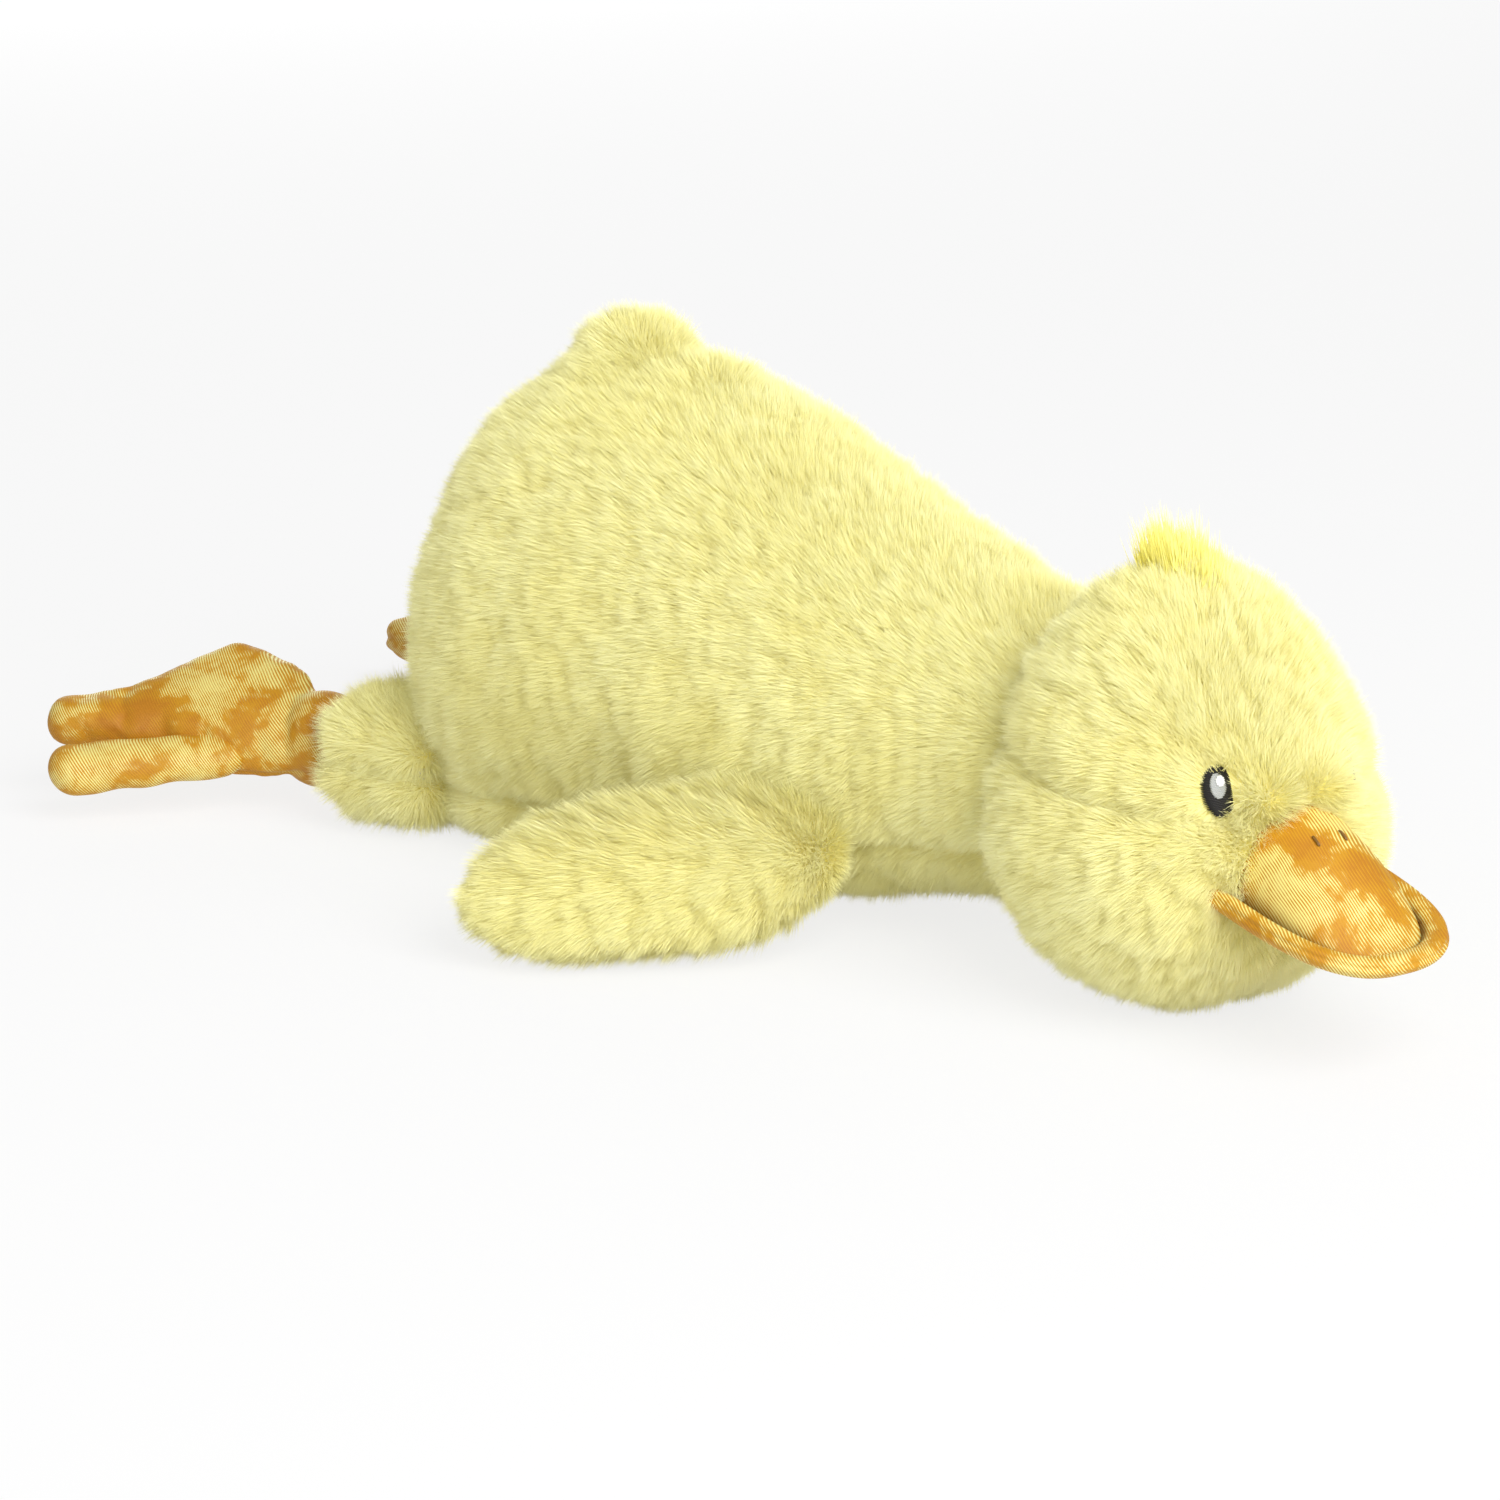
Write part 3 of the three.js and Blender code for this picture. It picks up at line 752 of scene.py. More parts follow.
@dataclass(frozen=True)
class SoftForm:
    """A soft form along its own X, closed by rounded ends, whose sections swell and taper."""

    length: float
    start_round: float
    end_round: float
    rows: tuple[Section, ...]
    start_power: float = 2.0
    end_power: float = 2.0
    up_power: float = 2.0
    down_power: float | None = None
    stations: int = 56
    around: int = 64

    def _follow(self, name: str, t: float) -> float:
        """The reach called name at t, on a smooth line through the sections."""
        last = len(self.rows) - 1
        i = next((k for k in range(1, last + 1) if self.rows[k].t > t), last) - 1

        def slope(k: int) -> float:
            """The line's slope at a section."""
            a, b = self.rows[max(k - 1, 0)], self.rows[min(k + 1, last)]
            return (getattr(b, name) - getattr(a, name)) / (b.t - a.t)

        start, end = self.rows[i], self.rows[i + 1]
        step = end.t - start.t
        u = min(max((t - start.t) / step, 0), 1)
        v = 1 - u
        return (getattr(start, name) * v * v * (1 + 2 * u) + getattr(end, name) * u * u * (3 - 2 * u)
                + slope(i) * step * u * v * v - slope(i + 1) * step * u * u * v)

    @staticmethod
    def _opened(depth: float, roundness: float, power: float) -> float:
        """How far a rounded end is open: 0 at its pole, 1 from a depth of its roundness on."""
        if depth >= roundness:
            return 1.0
        return (1 - (1 - depth / roundness) ** power) ** (1 / power)

    def build(self, name: str, frame: Matrix, inset: float) -> bpy.types.Object:
        """Builds the form's closed skin.

        Args:
            name: The object's name.
            frame: From the form's frame to the duck's.
            inset: How far the skin is drawn in.

        Returns:
            The object.
        """
        points: list[Vector] = [Vector((inset, 0, 0))]
        for i in range(1, self.stations):
            share = (1 - math.cos(math.pi * i / self.stations)) / 2
            x = inset + share * (self.length - 2 * inset)
            wide = self._opened(x - inset, self.start_round, self.start_power)
            wide *= self._opened(self.length - inset - x, self.end_round, self.end_power)
            up, down, left, right = (
                max(self._follow(way, x / self.length) - inset, 0.8) * wide
                for way in ("up", "down", "left", "right")
            )
            for k in range(self.around):
                angle = 2 * math.pi * k / self.around
                c, s = math.cos(angle), math.sin(angle)
                power = 2 / (self.up_power if s > 0 else self.down_power or self.up_power)
                aside = math.copysign(abs(c) ** power, c) * (left if c > 0 else right)
                above = math.copysign(abs(s) ** power, s) * (up if s > 0 else down)
                points.append(Vector((x, aside, above)))
        points.append(Vector((self.length - inset, 0, 0)))
        return mesh_of(name, [frame @ p for p in points], self._faces(len(points)))

    def _faces(self, count: int) -> list[tuple[int, ...]]:
        """The faces of the skin, outward, with a fan at each pole."""
        faces: list[tuple[int, ...]] = []
        rings = self.stations - 1

        def at(ring: int, k: int) -> int:
            """The number of a point on a ring."""
            return 1 + ring * self.around + k % self.around

        for k in range(self.around):
            faces.append((0, at(0, k + 1), at(0, k)))
            faces.append((count - 1, at(rings - 1, k), at(rings - 1, k + 1)))
            faces.extend((at(r, k), at(r, k + 1), at(r + 1, k + 1), at(r + 1, k)) for r in range(rings - 1))
        return faces


def ball(name: str, centre: Vector, scale: Vector, lean: float = 0.0,
         segments: tuple[int, int] = (48, 32)) -> bpy.types.Object:
    """A ball or egg.

    Args:
        name: The object's name.
        centre: Its middle.
        scale: Its radius along each axis.
        lean: How far its top leans forward, in degrees.
        segments: Its faces around and from pole to pole.

    Returns:
        The object.
    """
    source = bmesh.new()
    bmesh.ops.create_uvsphere(source, u_segments=segments[0], v_segments=segments[1], radius=1.0)
    source.transform(Matrix.Translation(centre) @ Matrix.Rotation(math.radians(lean), 4, "Y")
                     @ Matrix.Diagonal(scale).to_4x4())
    mesh = bpy.data.meshes.new(name)
    source.to_mesh(mesh)
    source.free()
    made = bpy.data.objects.new(name, mesh)
    bpy.context.scene.collection.objects.link(made)
    return made


# Stuffing

FILLING_FRAMES = 20
SOLVER_SCALE = 0.01


@dataclass(frozen=True)
class Stuffing:
    """How a cloth form is filled: it swells under pressure, held back at its seams."""

    voxel: float = 5.0
    pressure: float = 4.0
    most: float = 3.0
    spare: float = 0.03
    hold: float = 5.0

    def remesh(self, made: bpy.types.Object) -> None:
        """Turns a form, or several that overlap, into one even skin."""
        blend = made.modifiers.new("Remesh", "REMESH")
        blend.mode = "VOXEL"
        blend.voxel_size = self.voxel
        settle(made)

    def lace(self, made: bpy.types.Object, seams: list[Field]) -> None:
        """Pins the points that lie at a seam.

        Args:
            made: The form.
            seams: Each gives the distance of many points from one seam.
        """
        group = made.vertex_groups.new(name="seams")
        points = places(made.data)
        near = np.min([np.abs(seam(points)) for seam in seams], axis=0) if seams else None
        for i in np.flatnonzero(near < self.voxel * 0.75) if seams else []:
            group.add([int(i)], 1.0, "REPLACE")
        cloth = made.modifiers.new("Cloth", "CLOTH")
        settings = cloth.settings
        settings.quality = 5
        settings.mass = 0.3
        settings.use_pressure = True
        settings.uniform_pressure_force = self.pressure
        settings.vertex_group_mass = "seams"
        settings.pin_stiffness = self.hold
        settings.shrink_min = -self.spare
        settings.effector_weights.gravity = 0
        cloth.collision_settings.use_collision = False
        cloth.point_cache.frame_start = 1
        cloth.point_cache.frame_end = FILLING_FRAMES


def swell(forms: dict[bpy.types.Object, tuple[Stuffing, list]]) -> None:
    """Fills every form at once, and gives each skin one subdivision.

    The solver works in metres, so the forms are small while it runs.

    Args:
        forms: Each form, with its stuffing and its seams.
    """
    starts = {}
    for made, (stuffing, seams) in forms.items():
        stuffing.remesh(made)
        starts[made] = places(made.data).copy()
        stuffing.lace(made, seams)
        made.data.transform(Matrix.Scale(SOLVER_SCALE, 4))
    scene = bpy.context.scene
    for frame in range(1, FILLING_FRAMES + 1):
        scene.frame_set(frame)
    graph = bpy.context.evaluated_depsgraph_get()
    for made, (stuffing, _) in forms.items():
        mesh = made.evaluated_get(graph).to_mesh()
        step = places(mesh) / SOLVER_SCALE - starts[made]
        made.evaluated_get(graph).to_mesh_clear()
        far = np.linalg.norm(step, axis=1, keepdims=True)
        step *= np.minimum(1, stuffing.most / np.maximum(far, 1e-9))
        made.modifiers.clear()
        place(made.data, starts[made] + step)
    scene.frame_set(1)
    for made in forms:
        made.vertex_groups.clear()
        finer = made.modifiers.new("Subdivision", "SUBSURF")
        finer.levels = finer.render_levels = 1
        settle(made)


def flattened(points: np.ndarray, level: float = 1.0) -> np.ndarray:
    """Points with none below a level: the side that the duck lies on."""
    points[:, 2] = np.maximum(points[:, 2], level)
    return points


def pressed(made: bpy.types.Object, dents: list[Field]) -> None:
    """Presses a skin in along its normals.

    Args:
        made: The skin.
        dents: Each gives the depth of one dent at many points.
    """
    points = places(made.data)
    depth = sum(dent(points) for dent in dents)
    place(made.data, flattened(points - normals(made.data) * depth[:, None]))


def from_plane(point: Vector, normal: Vector) -> Field:
    """A function that gives the distance of many points from a plane."""
    p, n = np.array(point), np.array(normal.normalized())
    return lambda points: (points - p) @ n


def everywhere(value: float) -> Field:
    """The same value at every point."""
    return lambda points: np.full(len(points), value)


def near_floor(points: np.ndarray, level: float, share: float) -> np.ndarray:
    """A share for the points that lie lower than a level, and 1 for the rest."""
    return np.where(points[:, 2] < level, share, 1.0)


def furrow(distance: Field, depth: float, width: float, share: Field = everywhere(1.0)) -> Field:
    """A dent along a seam.

    Args:
        distance: The distance of many points from the seam.
        depth: How deep it is.
        width: How wide it is.
        share: How much of the depth it has at many points.

    Returns:
        A function that gives its depth at many points.
    """
    return lambda points: depth * np.exp(-((distance(points) / width) ** 2)) * share(points)


def dimple(centre: Vector, depth: float, radius: float) -> Field:
    """A round dent, or a bulge where its depth is negative."""
    c = np.array(centre)
    return lambda points: depth * np.exp(-(np.linalg.norm(points - c, axis=1) / radius) ** 2)


def lumps(seed: int, depth: float, size: float) -> Field:
    """Slow dents and bulges all over a skin, as stuffing makes them.

    Args:
        seed: Chooses the pattern.
        depth: How deep the deepest are.
        size: How far apart they are.

    Returns:
        A function that gives the depth at many points.
    """
    waves = 9
    chance = np.random.default_rng(seed)
    ways = chance.normal(size=(waves, 3))
    finer = chance.uniform(0.7, 1.4, waves)[:, None]
    ways *= (2 * np.pi / size) * finer / np.linalg.norm(ways, axis=1)[:, None]
    starts = chance.uniform(0, 2 * np.pi, waves)
    return lambda points: depth * np.sin(points @ ways.T + starts).sum(axis=1) / 4


def panel_of(made: bpy.types.Object, name: str, planes: list[Plane], wall: float = 1.2) -> bpy.types.Object:
    """The panel of a skin that lies on the positive side of each plane, with a wall of cloth.

    Args:
        made: The whole skin.
        name: The panel's name.
        planes: Each a point and a normal.
        wall: The cloth's thickness.

    Returns:
        The panel, as an object.
    """
    panel = copy_of(made, name)
    work = bmesh.new()
    work.from_mesh(panel.data)
    for point, normal in planes:
        bmesh.ops.bisect_plane(work, geom=work.verts[:] + work.edges[:] + work.faces[:], dist=0.01,
                               plane_co=point, plane_no=normal, clear_inner=True)
    work.to_mesh(panel.data)
    work.free()
    cloth = panel.modifiers.new("Cloth", "SOLIDIFY")
    cloth.thickness = wall
    cloth.offset = -1
    return settle(panel)


# Pile


@dataclass(frozen=True)
class Pile:
    """How pile grows from cloth. Lengths are in metres and the density is per square metre."""

    density: float = 9e6
    length: float = 0.0069
    width: float = 0.00026
    lean: float = 0.8
    ridges: tuple[float, float, float] = (330.0, 330.0, 75.0)
    ridge_depth: float = 0.45
    swirl: float = 0.22
    stray: float = 0.4
    bend: float = 0.0
    joints: int = 1
    seed: int = 1


class PileGrower:
    """Grows strands on cloth with one Geometry Nodes tree."""

    SIZES = ("Density", "Length", "Width", "Lean", "Ridge Depth", "Swirl", "Stray")

    def __init__(self) -> None:
        """Builds the tree."""
        self.tree = GeometryTree("pile", {
            "Strand": "Object", **{name: "Float" for name in self.SIZES}, "Ridges": "Vector",
            "Seed": "Int", "Finish": "Material",
        })
        self._wire()

    def _wire(self) -> None:
        """Adds the nodes that scatter, comb and realize the strands."""
        tree, inlet = self.tree, self.tree.inlet
        scatter = tree.node("GeometryNodeDistributePointsOnFaces", {"distribute_method": "RANDOM"}, {
            "Mesh": inlet["Geometry"], "Seed": inlet["Seed"],
            "Density": inlet["Density"] * self._marked("cover", "FLOAT"),
        })
        spot = tree.out("GeometryNodeInputPosition")
        ridge = tree.ramp(tree.noise(spot * inlet["Ridges"], 1.0, 2.0, 0.5), 0.36, 0.64) - 0.5
        strand = tree.out("GeometryNodeObjectInfo", {}, {"Object": inlet["Strand"]}, "Geometry")
        placed = tree.out("GeometryNodeInstanceOnPoints", {}, {
            "Points": Value(tree, scatter.outputs["Points"]), "Instance": strand,
            "Rotation": self._combed(Value(tree, scatter.outputs["Normal"]), spot, ridge),
            "Scale": self._size(ridge),
        })
        # Painted shade: strands in the valleys between ridges get a deeper colour, and each a random tone
        # as well
        tone = ridge * 0.45 + 0.55 + self._chance(-0.28, 0.28)
        with_shade_and_tone = tree.out("GeometryNodeStoreNamedAttribute", {"data_type": "FLOAT", "domain": "INSTANCE"},
                         {"Geometry": placed, "Name": "tone", "Value": tone.clamped()})
        real = tree.out("GeometryNodeRealizeInstances", {}, {"Geometry": with_shade_and_tone})
        whole = tree.node("GeometryNodeJoinGeometry")
        for part in (self._above_floor(real, spot), inlet["Geometry"]):
            tree.put(whole.inputs[0], part)
        tree.give(tree.out("GeometryNodeSetMaterial", {},
                           {"Geometry": Value(tree, whole.outputs[0]), "Material": inlet["Finish"]}))

    def _marked(self, name: str, kind: str) -> Value:
        """A named attribute of the cloth."""
        return self.tree.out("GeometryNodeInputNamedAttribute", {"data_type": kind}, {"Name": name}, 0)

    def _chance(self, low: float, high: float) -> Value:
        """A value that differs from strand to strand."""
        return self.tree.out("FunctionNodeRandomValue", {"data_type": "FLOAT"},
                             {2: low, 3: high, "Seed": self.tree.inlet["Seed"]}, 1)

    def _combed(self, up: Value, spot: Value, ridge: Value) -> Value:
        """How each strand is turned: off the cloth, combed, swirled and a little astray.

        Args:
            up: The cloth's normal.
            spot: Where the strand stands.
            ridge: The height of the ridges in the pile there.

        Returns:
            The rotation.
        """
        tree, inlet = self.tree, self.tree.inlet
        flow = self._marked("flow", "FLOAT_VECTOR")
        dot = tree.out("ShaderNodeVectorMath", {"operation": "DOT_PRODUCT"}, {0: flow, 1: up}, 1)
        level = flow - up * dot
        swirl = tree.noise(spot, 70.0, 1.0, 0.5, "Color") - (0.5, 0.5, 0.5)
        loose = tree.out("FunctionNodeRandomValue", {"data_type": "FLOAT_VECTOR"},
                         {0: (-1, -1, -1), 1: (1, 1, 1), "Seed": inlet["Seed"]}, 0)
        lean = inlet["Lean"] + ridge * inlet["Ridge Depth"]
        way = up + level * lean + swirl * inlet["Swirl"] + loose * inlet["Stray"]
        upright = tree.out("FunctionNodeAlignRotationToVector", {"axis": "Z"}, {"Vector": way})
        return tree.out("FunctionNodeAlignRotationToVector", {"axis": "X", "pivot_axis": "Z"},
                        {"Rotation": upright, "Vector": level + loose * 0.5})

    def _size(self, ridge: Value) -> Value:
        """The size of each strand, which is longer on a ridge."""
        inlet = self.tree.inlet
        long = inlet["Length"] * self._chance(0.8, 1.12) * (1.0 + ridge * 0.55)
        long = long * self._marked("pile", "FLOAT")
        return self.tree.out("ShaderNodeCombineXYZ", {}, {"X": long, "Y": inlet["Width"], "Z": long})

    def _above_floor(self, strands: Value, spot: Value) -> Value:
        """The strands with every point of theirs at or above the floor."""
        tree = self.tree
        parts = tree.node("ShaderNodeSeparateXYZ", {}, {"Vector": spot})
        height = tree.out("ShaderNodeMath", {"operation": "MAXIMUM"},
                          {0: Value(tree, parts.outputs["Z"]), 1: 0.0004})
        above = tree.out("ShaderNodeCombineXYZ", {}, {
            "X": Value(tree, parts.outputs["X"]), "Y": Value(tree, parts.outputs["Y"]), "Z": height})
        return tree.out("GeometryNodeSetPosition", {}, {"Geometry": strands, "Position": above})

    @staticmethod
    def _strand(bend: float, joints: int) -> bpy.types.Object:
        """A blade of unit length and width that tapers to a tip and is bent forward.

        Args:
            bend: How far forward the tip is.
            joints: 1 for a single triangle, or more for a blade of that many parts.

        Returns:
            The blade.
        """
        rows = [(k / joints, 0.5 * (1 - (k / joints) ** 2 * 0.6)) for k in range(joints)]
        points = [(bend * z * z, side * half, z) for z, half in rows for side in (-1, 1)]
        points.append((bend, 0.0, 1.0))
        faces = [(2 * k, 2 * k + 2, 2 * k + 3, 2 * k + 1) for k in range(joints - 1)]
        strand = mesh_of("strand", points, [*faces, (2 * joints - 2, 2 * joints, 2 * joints - 1)])
        # along runs from 0 at the root to 1 at the tip; it sets the painted shade toward the roots, and the
        # map
        along = strand.data.attributes.new("along", "FLOAT", "POINT")
        along.data.foreach_set("value", [p[2] for p in points])
        return strand

    def grow(self, cloth: bpy.types.Object, pile: Pile, finish: bpy.types.Material) -> bpy.types.Object:
        """Grows the pile of one piece.

        Args:
            cloth: The bare cloth, in metres, with its flow, cover and pile attributes.
            pile: How the pile grows.
            finish: The material of the pile and the cloth.

        Returns:
            The same object, as one mesh of cloth and strands.
        """
        strand = self._strand(pile.bend, pile.joints)
        self.tree.run(cloth, {
            "Strand": strand, "Density": pile.density, "Length": pile.length, "Width": pile.width,
            "Lean": pile.lean, "Ridges": pile.ridges, "Ridge Depth": pile.ridge_depth,
            "Swirl": pile.swirl, "Stray": pile.stray, "Seed": pile.seed, "Finish": finish,
        })
        discard(strand)
        self._lay_out(cloth.data)
        return cloth

    @staticmethod
    def _lay_out(mesh: bpy.types.Mesh) -> None:
        """Lays the strands out side by side on a map, each from its root at the bottom to its tip."""
        points = places(mesh)
        along = np.zeros(len(points))
        mesh.attributes["along"].data.foreach_get("value", along)
        low, high = points.min(axis=0), points.max(axis=0)
        wide = points[:, 0] + 0.31 * points[:, 1]
        u = (wide - wide.min()) / max(np.ptp(wide), 1e-6)
        v = 0.04 + 0.93 * along + 0.03 * (points[:, 2] - low[2]) / max(high[2] - low[2], 1e-6)
        corners = np.empty(len(mesh.loops), dtype=np.int32)
        mesh.loops.foreach_get("vertex_index", corners)
        chart = mesh.uv_layers.new(name="OFBake")
        chart.uv.foreach_set("vector", np.column_stack((u, v))[corners].ravel())
        smooth(mesh)
        for name in ("flow", "cover", "pile"):
            if name in mesh.attributes:
                mesh.attributes.remove(mesh.attributes[name])


# Pieces


@dataclass(frozen=True)
class Piece:
    """How a finished piece stands for a solid: its body, its slot and how full it is.

    A piece with a bend crosses a joint; bent_from and the bend's two points are kept, but the piece
    follows neither body: it stays where it was built, on no body.
    """

    node: str
    body: str
    slot: str
    fill: float = 0.0
    bent_from: str = ""
    bend: tuple[Vector, Vector] | None = None

    def finish(self, made: bpy.types.Object) -> None:
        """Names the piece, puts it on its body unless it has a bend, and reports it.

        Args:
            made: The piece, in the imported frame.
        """
        made.name = f"{self.node}_{self.slot}"
        made.data.name = made.name
        if self.bend:
            start, end = (TO_FRAME @ spot for spot in self.bend)
            tuple(start)
            tuple(end)
            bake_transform(made)
        else:
            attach(made, self.body)
        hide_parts(self.node)
        LOG.info("%s: %d faces on %s", made.name, len(made.data.polygons), self.body)


@dataclass
class Furrier:
    """Covers a form's panels with pile and finishes them."""

    grower: PileGrower
    finishes: Finishes

    def cover(self, panel: bpy.types.Object, piece: Piece, pile: Pile, flow: Field,
              length: Field = everywhere(1.0), cover: Field = everywhere(1.0),
              turn: Matrix = Matrix.Identity(4)) -> None:
        """Grows pile on a panel and finishes it as a piece.

        Args:
            panel: The bare panel, in the duck's frame.
            piece: What it stands for.
            pile: How the pile grows.
            flow: The way that it is combed, at many points.
            length: The share of its length, at many points.
            cover: The share of its density, at many points.
            turn: Moves the panel, once it is combed, to where it lies.
        """
        points = places(panel.data)
        outer = self._outer(panel.data)
        combed = flow(points) @ np.array(turn.to_3x3()).T
        self._store(panel.data, "flow", "FLOAT_VECTOR", combed.ravel())
        self._store(panel.data, "pile", "FLOAT", length(points))
        self._store(panel.data, "cover", "FLOAT", cover(points) * outer)
        panel.data.transform(TO_FRAME @ turn)
        finish = self.finishes.tuft if piece.slot == "tuft" else self.finishes.plush
        piece.finish(self.grower.grow(panel, pile, finish))

    @staticmethod
    def _outer(mesh: bpy.types.Mesh) -> np.ndarray:
        """1 for the points of the cloth's outer face, which a solidified mesh has first."""
        count = len(mesh.vertices)
        return (np.arange(count) < count // 2).astype(float)

    @staticmethod
    def _store(mesh: bpy.types.Mesh, name: str, kind: str, values: np.ndarray) -> None:
        """Stores an attribute on the points of a mesh."""
        key = "vector" if kind == "FLOAT_VECTOR" else "value"
        mesh.attributes.new(name, kind, "POINT").data.foreach_set(key, values.astype(np.float32))


def combed(direction: tuple[float, float, float]) -> Field:
    """Pile combed one way all over."""
    way = np.array(Vector(direction).normalized())
    return lambda points: np.tile(way, (len(points), 1))


@dataclass
class Trunk:
    """The trunk, with its tail, from the rump to the neck: two side panels and a belly panel."""

    length: float = 228
    above: float = 90
    below: float = 55
    half_width: float = 68
    floor_cut: float = 0.5
    inset: float = 5.2
    seam_z: float = 15
    seam_tilt: float = 5
    neck_x: float = 209
    neck_z: float = 57
    neck_bend: float = 22
    hidden: float = 24
    tail_x: float = 60
    tail_drop: float = 12.5
    tail_size: tuple[float, float, float] = (23, 22, 25.5)
    tail_lean: float = -28
    stuffing: Stuffing = Stuffing(voxel=5.0, most=1.6)

    @property
    def level(self) -> float:
        """The height of the form's own axis."""
        return self.below - self.floor_cut

    def form(self) -> bpy.types.Object:
        """The trunk, the neck and the tail as one bare form.

        Returns:
            The form.
        """
        rows = ((0.0, .92, 1.0, .98), (.24, 1.0, 1.0, 1.0), (.46, .93, 1.0, .97),
                (.7, .68, .92, .85), (.86, .54, .78, .71), (1.0, .45, .70, .65), (1.1, .42, .68, .63))
        whole = self.length + self.hidden
        stretched = [(t * self.length / whole, *reach) for t, *reach in rows]
        shape = SoftForm(whole, 60, 12, sections(self.above, self.below, self.half_width, stretched),
                         start_power=2.5, up_power=1.85, down_power=2.7)
        body = shape.build("trunk_form", Matrix.Translation((0, 0, self.level)), self.inset)
        tail = ball("tail_form", Vector((self.tail_x, 0, self.level + self.above - self.tail_drop)),
                    Vector([reach - self.inset for reach in self.tail_size]), self.tail_lean)
        # A small hump before the tail, and the belly's rear, which lies wide on the floor
        hump = ball("hump_form", Vector((90, 0, self.level + 76)), Vector((15, 11, 12)), 22)
        belly = ball("belly_form", Vector((50, 0, 18)), Vector((46, 59, 17.5)))
        return joined("trunk_form", [body, tail, hump, belly])

    def seams(self) -> list[Field]:
        """The side seams and the back seam, as distances.

        Returns:
            A function for each.
        """
        side = from_plane(Vector((0, 0, self.seam_z)), self.seam_normal())
        back = from_plane(Vector(), Vector((0, 1, 0)))
        return [side, back]

    def seam_normal(self) -> Vector:
        """The upward normal of the side seams' plane."""
        return Vector((-sine(self.seam_tilt), 0, cosine(self.seam_tilt)))

    def dress(self, form: bpy.types.Object, furrier: Furrier) -> None:
        """Shapes the seams, splits the skin into its panels and covers them.

        Args:
            form: The filled form.
            furrier: Grows the pile.
        """
        side, back = self.seams()
        pressed(form, [
            furrow(side, 1.6, 3.0),
            furrow(back, 0.6, 4.0),
            lumps(3, 0.6, 30),
            *(dimple(Vector((36, y, 134)), 1.5, 9) for y in (-16, 16)),
            *(dimple(Vector((74, y, 136)), 1.2, 8) for y in (-20, 20)),
        ])
        cut = (Vector((0, 0, self.seam_z)), self.seam_normal())
        middle = Vector((0, 1, 0))
        ahead = Vector((self.neck_x, 0, 0)), Vector((1, 0, 0))
        behind = ahead[0], -ahead[1]
        panels = {
            "right_side_panel": [cut, behind, (Vector(), -middle)],
            "left_side_panel": [cut, behind, (Vector(), middle)],
            "belly_panel": [(cut[0], -cut[1]), behind],
            "neck": [ahead],
        }

        def length(points: np.ndarray) -> np.ndarray:
            """Shorter pile at the side seams and under the belly."""
            near = 1 - 0.6 * np.exp(-((side(points) / 2.6) ** 2))
            return near * near_floor(points, NEAR_FLOOR, 0.5)

        def cover(points: np.ndarray) -> np.ndarray:
            """Thinner pile where the belly is pressed to the floor, and none inside the head."""
            return near_floor(points, ON_FLOOR, 0.25) * (points[:, 0] < self.neck_x + 26)

        for i, (node, planes) in enumerate(panels.items()):
            piece = Piece(node, "trunk", "plush", 0.85)
            if node == "neck":
                bend = tuple(Vector((self.neck_x + x, 0, self.neck_z)) for x in (0, self.neck_bend))
                piece = Piece(node, "neck", "plush", 0.8, bent_from="trunk", bend=bend)
            pile = Pile(seed=11 + i)
            furrier.cover(panel_of(form, node + "_cloth", planes), piece, pile,
                          combed((-1, 0, -0.22)), length, cover)
        discard(form)


HEAD_TURN = 13
HEAD_PIVOT = Vector((224, 0, 57))
HEAD_PLACE = (Matrix.Translation(HEAD_PIVOT) @ Matrix.Rotation(math.radians(-HEAD_TURN), 4, "Z")
              @ Matrix.Translation(-HEAD_PIVOT))


